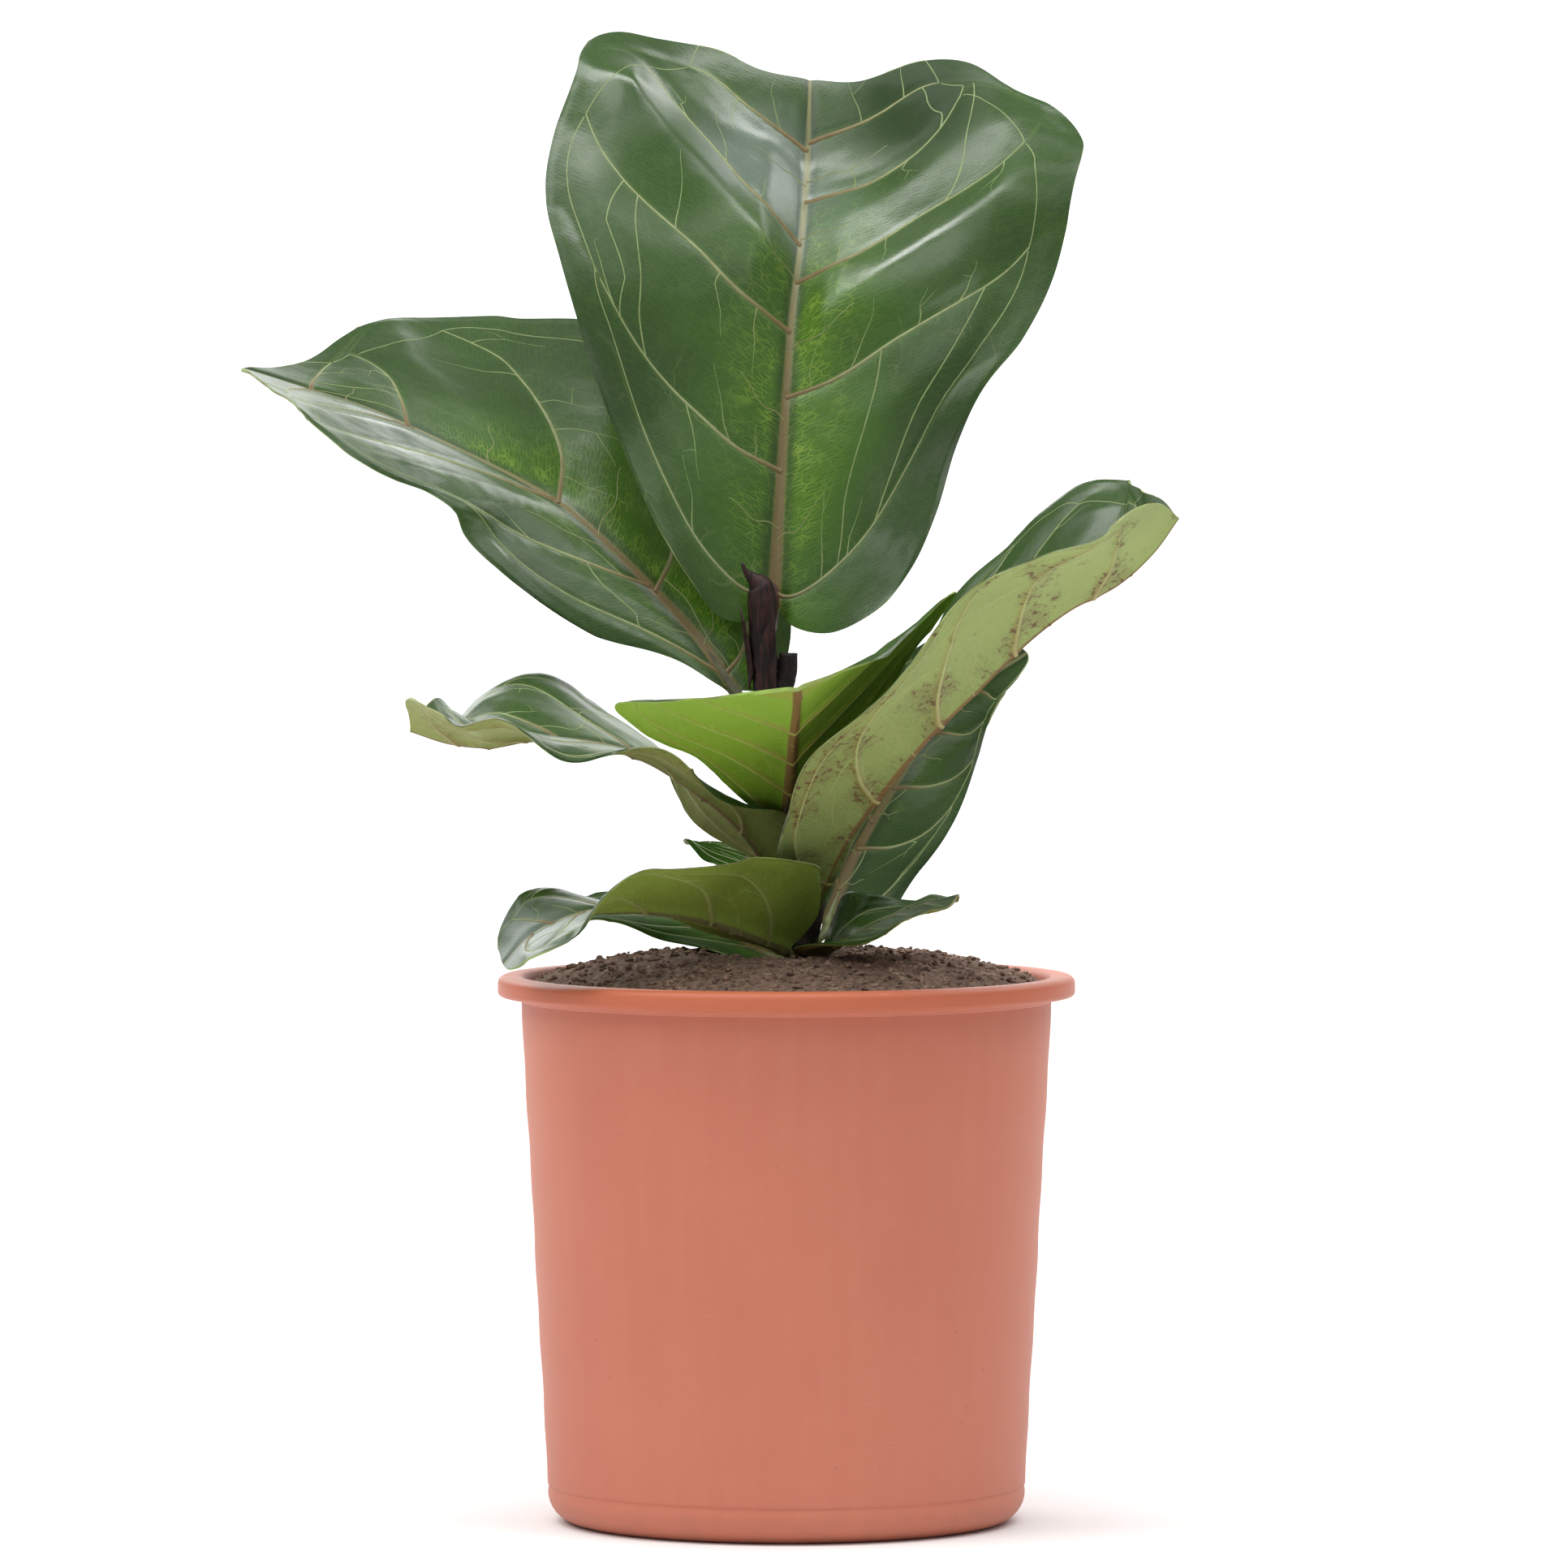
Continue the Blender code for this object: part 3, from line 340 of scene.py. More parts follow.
LEAVES = {
    "leaf_top": Leaf(
        petiole=(-5.6, 3, 293),
        spine=[
            (-4, 8, 305), (-2, 12, 340), (0, 17, 372), (2, 23, 398), (5, 33, 423), (7, 48, 450),
            (8, 66, 478),
        ],
        facing=[(0, -1, 0.1), (0, -1, 0.1), (0, -1, 0.2), (0, -1, 0.3)],
        half_widths=(84, 90),
        outlines=(
            [
                (0.03, 0.0), (0.12, -0.05), (0.23, -0.045), (0.36, 0.03), (0.50, 0.13), (0.64, 0.25),
                (0.76, 0.37), (0.85, 0.48), (0.92, 0.57), (1.0, 0.68), (1.0, 0.79), (0.97, 0.90),
                (0.90, 1.0), (0.80, 1.045), (0.60, 1.05), (0.38, 1.04), (0.20, 1.0), (0.0, 0.985),
            ],
            [
                (0.03, 0.0), (0.08, -0.05), (0.22, -0.065), (0.38, -0.02), (0.50, 0.06), (0.58, 0.16),
                (0.64, 0.28), (0.72, 0.38), (0.86, 0.48), (0.96, 0.60), (1.0, 0.76), (1.0, 0.86),
                (0.92, 0.93), (0.76, 0.97), (0.58, 1.03), (0.42, 1.03), (0.18, 0.98), (0.0, 0.985),
            ],
        ),
        fold=((8, 8, 8, 4), (8, 8, 8, 4)),
        curl=((-6, -6, -10, -14), (-6, -6, -10, -14)),
        wave=4,
        wave_count=2.2,
        wave_start=(0.1, 0.4),
        sweep=0.7,
        corners=(0.14, 0.74),
        veins=((0.006, 0.225, 0.48, 0.65, 0.87), (0.006, 0.36, 0.575, 0.75, 0.885)),
        rises=((0.27, 0.12, 0.14, 0.24, 0.16), (0.31, 0.11, 0.14, 0.10, 0.12)),
        petiole_radius=1.9,
        row_power=1.5,
    ),
    "leaf_left_upper": Leaf(
        petiole=(-12, 3, 268),
        spine=[
            (-17, 4, 274), (-29, 8, 291), (-56, 16, 319), (-73, 20, 334), (-88, 22, 343), (-110, 24, 354),
            (-139, 26, 367), (-161, 27, 374), (-180, 27, 380),
        ],
        facing=[(-0.2, -0.42, 0.8), (-0.2, -0.42, 0.85), (0, -0.32, 0.9), (0, -0.3, 0.9)],
        half_widths=(66, 80),
        outlines=(
            [
                (0.03, 0.0), (0.08, 0.02), (0.20, 0.09), (0.42, 0.19), (0.56, 0.29), (0.66, 0.39),
                (0.68, 0.47), (0.62, 0.54), (0.62, 0.60), (0.74, 0.68), (0.82, 0.76), (0.76, 0.84),
                (0.54, 0.91), (0.27, 0.96), (0.0, 1.0),
            ],
            [
                (0.03, 0.0), (0.16, -0.03), (0.34, 0.02), (0.49, 0.12), (0.58, 0.24), (0.72, 0.38),
                (0.88, 0.51), (1.0, 0.62), (1.0, 0.73), (0.88, 0.81), (0.62, 0.87), (0.30, 0.91),
                (0.13, 0.95), (0.0, 1.0),
            ],
        ),
        fold=((2, 4, 10, 12), (2, 6, 2, -4)),
        curl=((0, 0, 0, 0), (0, 0, 0, -10)),
        wave=3,
        wave_start=(0.35, 0.5),
        sweep=0.5,
        veins=((0.03, 0.225, 0.44, 0.70, 0.87), (0.03, 0.21, 0.43, 0.71, 0.88)),
        rises=((0.20, 0.08, 0.34, 0.25, 0.16), (0.30, 0.14, 0.16, 0.154, 0.12)),
        petiole_radius=1.9,
    ),
    "leaf_front": Leaf(
        petiole=(-1, -4, 222),
        spine=[(0, -11, 231), (1, -38, 247), (2, -66, 262), (3, -90, 273), (3, -106, 279)],
        facing=[(0, 0.3, 0.9), (0, 0.3, 0.9)],
        half_widths=(64, 58),
        outlines=(
            [
                (0.03, 0.0), (0.08, 0.0), (0.20, 0.06), (0.32, 0.17), (0.43, 0.30), (0.52, 0.43),
                (0.63, 0.56), (0.75, 0.68), (0.87, 0.79), (1.0, 0.90), (0.78, 0.93), (0.5, 0.96),
                (0.25, 0.985), (0.0, 1.0),
            ],
            [
                (0.03, 0.0), (0.08, 0.0), (0.20, 0.08), (0.34, 0.22), (0.5, 0.38), (0.68, 0.54),
                (0.87, 0.69), (1.0, 0.82), (0.93, 0.92), (0.65, 0.975), (0.3, 1.0), (0.0, 1.0),
            ],
        ),
        fold=((24, 28, 32), (2, -2, -8)),
        curl=((10, 16, 20), (0, 0, -6)),
        droop=(9, 0),
        veins=((0.03, 0.20, 0.42, 0.63), (0.03, 0.22, 0.42, 0.63)),
        rises=((0.30, 0.26, 0.24, 0.20), (0.30, 0.26, 0.24, 0.20)),
        petiole_radius=1.7,
    ),
    "leaf_right_front": Leaf(
        petiole=(10, -4, 204),
        spine=[
            (12, -9, 210), (20, -29, 228), (32, -47, 246), (45, -63, 262), (60, -76, 277), (77, -86, 294),
            (90, -92, 304), (105, -96, 312), (116, -98, 322), (124, -98, 333),
        ],
        facing=[(-0.6, 0.1, 0.8), (-0.6, 0.1, 0.8), (-0.5, 0.1, 0.8)],
        half_widths=(54, 44),
        outlines=(
            [
                (0.03, 0.0), (0.10, -0.02), (0.24, 0.03), (0.36, 0.13), (0.49, 0.26), (0.66, 0.38),
                (0.84, 0.50), (0.97, 0.62), (1.0, 0.73), (0.94, 0.83), (0.78, 0.92), (0.5, 0.99),
                (0.25, 1.01), (0.0, 1.0),
            ],
            [
                (0.03, 0.0), (0.20, -0.03), (0.40, 0.0), (0.54, 0.10), (0.66, 0.24), (0.80, 0.38),
                (0.84, 0.52), (0.84, 0.66), (0.90, 0.78), (0.84, 0.89), (0.6, 0.97), (0.3, 1.0), (0.0, 1.0),
            ],
        ),
        fold=((30, 38, 38), (28, 28, 24)),
        wave=2.5,
        wave_count=2.5,
        petiole_radius=1.7,
    ),
    "leaf_right_back": Leaf(
        petiole=(12, 5, 193),
        spine=[(14, 10, 198), (22, 22, 217), (33, 32, 236), (46, 38, 256), (61, 40, 272), (80, 40, 285)],
        facing=[(0.3, -0.8, 0.4), (0.3, -0.8, 0.4), (0.4, -0.7, 0.5)],
        half_widths=(24, 23),
        outlines=(
            EGG,
            [
                (0.03, 0.0), (0.3, -0.06), (0.65, -0.03), (0.85, 0.10), (0.95, 0.25), (1.0, 0.40),
                (0.95, 0.55), (0.78, 0.67), (0.55, 0.77), (0.38, 0.86), (0.26, 0.94), (0.12, 0.99),
                (0.0, 1.0),
            ],
        ),
        fold=((10, 10, 10), (10, 10, 20)),
        wave=1.5,
    ),
    "leaf_left_mid": Leaf(
        petiole=(-3, -2, 213),
        spine=[
            (-6, -5, 219), (-18, -14, 234), (-32, -22, 245), (-45, -27, 253), (-61, -31, 258),
            (-83, -35, 260), (-96, -36, 258), (-109, -36, 259), (-122, -35, 263),
        ],
        facing=[(-0.3, -0.2, 0.9), (-0.2, -0.2, 0.95), (0, -0.24, 0.95), (-0.1, -0.26, 0.95)],
        half_widths=(38, 44),
        outlines=(
            FIDDLE,
            [
                (0.03, 0.0), (0.12, -0.02), (0.35, 0.03), (0.6, 0.13), (0.84, 0.25), (0.97, 0.37),
                (1.0, 0.5), (0.98, 0.64), (0.9, 0.78), (0.68, 0.9), (0.33, 0.98), (0.0, 1.0),
            ],
        ),
        fold=((4, 4, 4, 24, 50), (6, 12, 8, 8, 26)),
        curl=((6, 0, 0, 0, 0), (0, 0, 0, 0, 0)),
        wave=4,
        wave_count=2.5,
        wave_start=(0.1, 0.6),
    ),
    "leaf_left_low": Leaf(
        petiole=(1, -5, 187),
        spine=[
            (-1, -10, 190), (-11, -25, 195), (-23, -36, 200), (-33, -44, 203), (-47, -50, 205),
            (-62, -54, 205), (-73, -57, 202), (-84, -59, 196), (-92, -60, 187),
        ],
        facing=[(0, 0.6, 0.8), (0, 0.5, 0.85), (-0.1, 0.25, 0.9), (-0.2, -0.3, 0.8), (-0.3, -0.3, 0.85)],
        half_widths=(32, 24),
        outlines=(
            [
                (0.03, 0.0), (0.20, -0.02), (0.5, 0.0), (0.78, 0.09), (1.0, 0.20), (1.0, 0.32),
                (0.86, 0.44), (0.74, 0.54), (0.70, 0.66), (0.70, 0.78), (0.60, 0.89), (0.36, 0.97),
                (0.16, 1.0), (0.0, 1.0),
            ],
            OVAL,
        ),
        fold=((25, 25, 15, 5, 0), (25, 20, 15, 5, 0)),
    ),
    "leaf_left_bottom": Leaf(
        petiole=(-1, 2, 184),
        spine=[(-4, 5, 186), (-13, 14, 190), (-24, 24, 194), (-40, 33, 198), (-56, 40, 200), (-81, 48, 200)],
        facing=[(0, -0.3, 0.9), (0, -0.2, 0.95), (0, -0.1, 0.95)],
        half_widths=(24, 28),
        outlines=(OVAL, OVAL),
        fold=((5, 3, 0), (0, 0, -5)),
        wave=1.5,
        petiole_radius=1.3,
    ),
    "leaf_right_low": Leaf(
        petiole=(9, -2, 184.5),
        spine=[(11, -6, 187), (15, -18, 191), (24, -26, 196), (35, -32, 202), (45, -36, 206), (56, -38, 209)],
        facing=[(0, -0.2, 0.9), (0, -0.28, 0.95), (0, -0.28, 0.95)],
        half_widths=(25, 24),
        outlines=(OVAL, EGG),
        fold=((55, -10, -25), (0, 0, 0)),
        curl=((20, 0, 0), (0, 0, 0)),
        wave=1.5,
        petiole_radius=1.3,
    ),
    "leaf_back": Leaf(
        petiole=(-2, 5, 207),
        spine=[(-5, 10, 209), (-9, 36, 214), (-13, 64, 217), (-16, 88, 219)],
        facing=[(0, -0.4, 0.9), (0, -0.4, 0.9), (0, -0.3, 0.9)],
        half_widths=(22, 22),
        outlines=(OVAL, OVAL),
        fold=((15, 15, 10), (15, 15, 10)),
        wave=1.5,
        petiole_radius=1.3,
    ),
}


def papery_scale(spine, facing, half_width):
    """A narrow scale that lies against the stem, curled round it."""
    return Leaf(
        petiole=(),
        spine=spine,
        facing=facing,
        half_widths=(half_width, half_width),
        outlines=(LANCE, LANCE),
        fold=((0, 0), (0, 0)),
        curl=((-60, -40), (-60, -40)),
        wave=0.2,
        sweep=0,
        row_power=1,
    )


STIPULES = {
    "stipule_left": papery_scale(
        [(-12.4, -0.6, 274), (-13.4, -0.8, 285), (-15.4, -0.6, 301)], [(-1, -0.1, 0), (-1, -0.1, 0.1)], 3.6
    ),
    "stipule_right": papery_scale(
        [(-6.2, -6, 268), (-6.6, -6.3, 280), (-5.0, -6.8, 297)], [(0, -1, 0), (0, -1, 0.1)], 3.8
    ),
}


@dataclass(frozen=True)
class LeafLook:
    """How one leaf looks.

    The first pair says how far a fresh green, painted in for light shining through the blade, spreads on
    the side 0 and the side 1. Puff is how many millimetres the blade stands up between its side veins, and
    panels is the share of that in each panel. Ridges are a vein number and a height in millimetres, of a
    broad fold on each side. Dish is how many millimetres deep the top of the blade is. Dull takes the gloss
    away. Wax lists patches of thicker wax, or of thinner wax where the amount is below zero, each as a place
    and a radius in millimetres and an amount. The next list holds patches of painted sheen, a pale grey-green
    in the base colour, in the same way, or of painted shade, a deeper green, where the amount is below zero.
    Under and rib are colours, and spots is how many spots there are underneath. Stalk reach is the share of
    the blade's length that the stalk runs on under the midrib.
    """

    painted_glow: tuple = (0.5, 0.5)
    puff: float = 1.2
    panels: tuple = ((1, 1, 1, 1, 1, 1), (1, 1, 1, 1, 1, 1))
    ridges: tuple = ((1, 0), (1, 0))
    dish: float = 0.0
    dull: float = 0.0
    wax: tuple = ()
    painted_sheen_and_shade: tuple = ()
    under: tuple = (0.20, 0.27, 0.09)
    rib: tuple = (0.33, 0.20, 0.10)
    rib_width: float = 0.25
    spots: float = 0.0
    petiole: tuple = (0.10, 0.12, 0.035)
    stalk_reach: float = 0.24


LOOKS = {
    "leaf_top": LeafLook(
        painted_glow=(0.6, 1.1), puff=4.4,
        panels=((0.1, 0.25, 0.25, 0.55, 0.35, 0.2), (0.1, 0.2, 0.55, 0.35, 0.3, 0.2)),
        ridges=((2.64, 6.5), (1.62, 6.5)), dish=8.0,
        painted_sheen_and_shade=(((-9, 48, 449), 30, 0.32), ((10, 40, 431), 26, 0.20), ((44, 59, 469), 36, -0.70)),
        wax=(
            ((-9, 48, 449), 34, 0.55), ((45, 18, 417), 26, 1.0), ((-50, 48, 473), 24, 0.5),
            ((44, 59, 469), 34, -2.0), ((-40, 33, 442), 30, -2.0), ((86, 28, 446), 18, -1.6),
            ((44, 8, 333), 30, 1.0),
        ),
        petiole=(0.045, 0.013, 0.011), stalk_reach=0.10,
    ),
    "leaf_left_upper": LeafLook(
        painted_glow=(0.25, 0.9), puff=1.5, petiole=(0.05, 0.05, 0.02),
        wax=(((-120, 11, 356), 40, 1.0), ((-84, 3, 324), 30, 0.5)),
        painted_sheen_and_shade=(((-120, 11, 356), 36, 0.12), ((-53, 27, 325), 34, -0.4)),
    ),
    "leaf_front": LeafLook(
        # The under colour is painted lighter and greener, standing in for light shining through the blade.
        painted_glow=(0.5, 0.5), under=(0.190, 0.330, 0.015), rib=(0.33, 0.15, 0.055), rib_width=0.9,
        petiole=(0.05, 0.04, 0.02),
    ),
    "leaf_right_front": LeafLook(
        painted_glow=(0.3, 0.3), puff=1.6, under=(0.265, 0.330, 0.095), rib=(0.34, 0.16, 0.055), spots=1.1,
    ),
    "leaf_right_back": LeafLook(
        painted_glow=(0.2, 0.25), under=(0.30, 0.38, 0.20), dull=0.3,
        wax=(((34, 24, 215), 34, -1.0), ((52, 32, 250), 24, 0.6)),
        painted_sheen_and_shade=(((34, 24, 215), 34, -0.4),),
    ),
    "leaf_left_mid": LeafLook(painted_glow=(0.2, 0.2), under=(0.22, 0.25, 0.06), spots=0.3),
    "leaf_left_low": LeafLook(
        painted_glow=(0.3, 0.3), under=(0.19, 0.27, 0.03), rib=(0.25, 0.22, 0.09),
        painted_sheen_and_shade=(((-80, -62, 198), 26, 0.3),),
    ),
    "leaf_left_bottom": LeafLook(painted_glow=(0.8, 0.2), dull=0.9),
    "leaf_right_low": LeafLook(painted_glow=(0.6, 0.9), under=(0.22, 0.20, 0.03), dull=0.3),
    "leaf_back": LeafLook(painted_glow=(0.3, 0.3), dull=1.0),
}


# Shader values

class Wire:
    """One socket of a shader tree. Arithmetic on it adds Math nodes, and add() puts in any other node."""

    def __init__(self, tree, socket=None):
        self.tree = tree
        self.socket = socket

    def add(self, kind, settings=None, inputs=None, output=0):
        node = self.tree.nodes.new(kind)
        for name, value in (settings or {}).items():
            setattr(node, name, value)
        for name, value in (inputs or {}).items():
            self.feed(node.inputs[name], value)
        return Wire(self.tree, node.outputs[output])

    def feed(self, socket, value):
        """Sets a socket: a number or a colour on the socket itself, a Wire as a link."""
        if isinstance(value, Wire):
            self.tree.links.new(value.socket, socket)
        elif socket.type == "RGBA":
            socket.default_value = (*value, 1)
        else:
            socket.default_value = value

    def math(self, operation, *values):
        return self.add("ShaderNodeMath", {"operation": operation}, dict(enumerate(values)))

    def __add__(self, other):
        return self.math("ADD", self, other)

    __radd__ = __add__

    def __sub__(self, other):
        return self.math("SUBTRACT", self, other)

    def __rsub__(self, other):
        return self.math("SUBTRACT", other, self)

    def __mul__(self, other):
        return self.math("MULTIPLY", self, other)

    __rmul__ = __mul__

    def __truediv__(self, other):
        return self.math("DIVIDE", self, other)

    def __pow__(self, other):
        return self.math("POWER", self, other)

    def __abs__(self):
        return self.math("ABSOLUTE", self)

    def step(self, low, high):
        """A soft step from 0 at low to 1 at high."""
        ends = {"Value": self, "From Min": low, "From Max": high}
        return self.add("ShaderNodeMapRange", {"interpolation_type": "SMOOTHSTEP"}, ends)

    def blend(self, factor, first, second):
        return self.add("ShaderNodeMix", {"data_type": "RGBA"}, {0: factor, 6: first, 7: second}, 2)

    def parts(self):
        node = self.add("ShaderNodeSeparateXYZ", None, {0: self}).socket.node
        return [Wire(self.tree, socket) for socket in node.outputs]

    def vector(self, x, y, z=0.0):
        return self.add("ShaderNodeCombineXYZ", None, {0: x, 1: y, 2: z})

    def stretched(self, factors):
        return self.add("ShaderNodeVectorMath", {"operation": "MULTIPLY"}, {0: self, 1: factors})

    def moved(self, other):
        return self.add("ShaderNodeVectorMath", {"operation": "ADD"}, {0: self, 1: other})

    def distance(self, spot):
        """How many millimetres the surface is from a place given in millimetres."""
        place = self.object_place().stretched((1 / MM, 1 / MM, 1 / MM))
        return self.add("ShaderNodeVectorMath", {"operation": "DISTANCE"}, {0: place, 1: spot}, 1)

    def noise(self, scale, detail=2.0, roughness=0.5):
        inputs = {"Vector": self, "Scale": scale, "Detail": detail, "Roughness": roughness}
        return self.add("ShaderNodeTexNoise", None, inputs)

    def noise_colour(self, scale):
        return self.add("ShaderNodeTexNoise", None, {"Vector": self, "Scale": scale}, 1)

    def cells(self, scale, feature="DISTANCE_TO_EDGE"):
        return self.add("ShaderNodeTexVoronoi", {"feature": feature}, {"Vector": self, "Scale": scale})

    def object_place(self):
        return self.add("ShaderNodeTexCoord", output="Object")

    def uv(self, name):
        return self.add("ShaderNodeUVMap", {"uv_map": name})

    def bump(self, height, distance, strength=1.0):
        inputs = {"Height": height, "Distance": distance, "Strength": strength}
        return self.add("ShaderNodeBump", None, inputs)


def line(distance, half_width, soft):
    """1 on a line, 0 beside it."""
    return 1 - distance.step(half_width - soft, half_width + soft)


def tinted(tone, share, lift=0.0):
    """A colour made darker or lighter."""
    return [min(1, share * value + lift) for value in tone]


def new_material(name):
    """A material, and the start of a Wire in its tree."""
    made = bpy.data.materials.new(name)
    made.use_nodes = True
    return made, Wire(made.node_tree)


def finished(made, values):
    """The material with these values on its shader's sockets."""
    wire = Wire(made.node_tree)
    for name, value in values.items():
        wire.feed(made.node_tree.nodes["Principled BSDF"].inputs[name], value)
    return made


# Leaf materials

def vein_pattern(wire):
    """Masks of the blade's pattern and of the painted shadow beside the midrib, from its three UV maps:
    veins, blade and measure.
    """
    across, number, _ = wire.uv("veins").parts()
    place = wire.uv("blade")
    x, y, _ = place.parts()
    gap, station, _ = wire.uv("measure").parts()
    side = across.step(-0.001, 0.001)
    across = abs(across)
    phase = abs(wire.math("FRACT", number + 0.5) - 0.5)
    fade = (1 - across.step(0.80, 0.95)) * number.step(-0.4, -0.1)
    halo = line(phase * gap, 0.5 + 1.0 * (1 - across), 0.5) * fade
    midrib = line(abs(x), 0.50 + 1.6 * (1 - station) ** 1.6, 0.3 + 0.5 * (1 - station))
    # Painted shadow: a darker band on each side of the midrib.
    shade = line(abs(x), 1.8 + 3.4 * (1 - station) ** 1.3, 1.8) * (1 - midrib)
    rough = place.noise_colour(0.16).stretched((5.0, 5.0, 0))
    branch_place = wire.vector(abs(x), number * 24.0).moved(rough)
    branches = line(branch_place.cells(1 / 15.0) * 15.0, 0.05, 0.22)
    branches = branches * place.noise(0.05, 1).step(0.42, 0.60) * (1 - phase.step(0.15, 0.5))
    bent = place.moved(place.noise_colour(0.4).stretched((1.5, 1.5, 0)))
    net = line(bent.cells(1 / 4.2) * 4.2, 0.03, 0.22)
    sloped = (y - 0.5 * abs(x)) / 1.35 + 1.5 * place.noise(0.30, 2)
    rungs = abs(wire.math("FRACT", sloped) - 0.5) * 1.35
    rooms = wire.vector(abs(x) * 0.6, y - 0.5 * abs(x))
    rooms = rooms.moved(place.noise_colour(0.5).stretched((0.6, 0.6, 0)))
    ladder = wire.math("MINIMUM", rungs, rooms.cells(1 / 2.6) * 2.6)
    return {
        "side": side, "across": across, "station": station, "place": place, "halo": halo, "midrib": midrib,
        "shade": shade, "branches": branches, "net": net, "ladder": ladder, "phase": phase, "number": number,
        "rough": rough,
    }


def upper_material(look, leaf_settings):
    made, wire = new_material("leaf_upper")
    vein = vein_pattern(wire)
    place = vein["place"]
    broad = place.noise(0.022, 3)
    # A fresher green near the midrib's base, spread by the side 0 and side 1 shares, is painted in for light
    # shining through the blade.
    reach = vein["side"] * (look.painted_glow[1] - look.painted_glow[0]) + look.painted_glow[0]
    painted_glow = (1 - vein["across"].step(0.0, 0.8)) * (1 - vein["station"].step(0.3, 0.9))
    painted_glow = painted_glow * reach * broad.step(0.2, 0.5) * (0.6 + 0.8 * vein["phase"])
    green = wire.blend(broad.step(0.3, 0.72), leaf_settings.deep_green, leaf_settings.mid_green)
    green = wire.blend(painted_glow, green, leaf_settings.painted_glow_green)
    beside = painted_glow * (1 - vein["across"].step(0.05, 0.45)) * place.noise(0.12, 2).step(0.3, 0.62)
    pale_rungs = (1 - vein["ladder"].step(0.0, 0.24)) * (0.05 + 0.8 * beside)
    green = wire.blend(pale_rungs, green, leaf_settings.rung_green)
    green = wire.blend(vein["net"] * 0.06, green, leaf_settings.net_green)
    low = 1 - vein["station"].step(0.15, 0.75)
    green = wire.blend(vein["branches"] * (0.10 + 0.25 * low), green, leaf_settings.vein_colour)
    # Painted shadow beside the midrib.
    green = wire.blend(vein["shade"] * 0.6, green, tinted(leaf_settings.deep_green, 0.55))
    green = wire.blend(vein["halo"] * 0.16, green, leaf_settings.net_green)
    tan = leaf_settings.midrib_colour
    midrib_tone = wire.blend(vein["station"].step(0.25, 0.8) * 0.55, tan, leaf_settings.vein_colour)
    lines = wire.vector(place.parts()[0], place.parts()[1] * 0.08).noise(1.6, 2).step(0.35, 0.7)
    midrib_tone = wire.blend(lines * 0.35, midrib_tone, tinted(tan, 0.6))
    green = wire.blend(vein["midrib"] * 0.95, green, midrib_tone)
    dust = place.cells(1 / 26.0, "F1").step(0.010, 0.016)
    green = wire.blend((1 - dust) * 0.8, green, LEAF_DUST)
    roughness = 0.26 + 0.14 * place.noise(0.05, 4) + 0.12 * vein["midrib"] + 0.4 * look.dull
    coat = 0.10 * (1 - look.dull)
    wobble = 9.0 * place.noise(0.06, 2) - 4.5
    beside_rib = 1 - 0.8 * vein["midrib"]
    # Patches of painted sheen, a pale grey-green, or of painted shade, a deep green, mixed into the base
    # colour.
    for spot, radius, amount in look.painted_sheen_and_shade:
        patch = beside_rib * (1 - (wire.distance(spot) + wobble).step(0.2 * radius, radius))
        green = wire.blend(patch * abs(amount), green, PAINTED_SHEEN if amount > 0 else DEEP_SHADE)
    for spot, radius, amount in look.wax:
        patch = beside_rib * (1 - (wire.distance(spot) + wobble).step(0.3 * radius, radius))
        if amount > 0:
            coat = patch * (0.9 * amount) + coat
            roughness = roughness - 0.08 * patch
        else:
            roughness = roughness - patch * (0.30 * amount)
    wrinkles = wire.vector(abs(place.parts()[0]), vein["number"] * 30.0).moved(vein["rough"])
    wrinkles = wrinkles.stretched((1, 0.22, 0)).noise(0.45, 3)
    relief = 0.10 * vein["ladder"].step(0.0, 0.5) + 0.16 * wrinkles + 0.08 * place.noise(1.6, 3)
    relief = relief - 0.05 * vein["net"]
    return finished(made, {
        "Base Color": green,
        "Roughness": roughness,
        "Specular IOR Level": 0.48 * (1 - look.dull),
        "Coat Weight": coat,
        "Coat Roughness": 0.20,
        "Normal": wire.bump(relief, 0.00020, 0.8),
    })


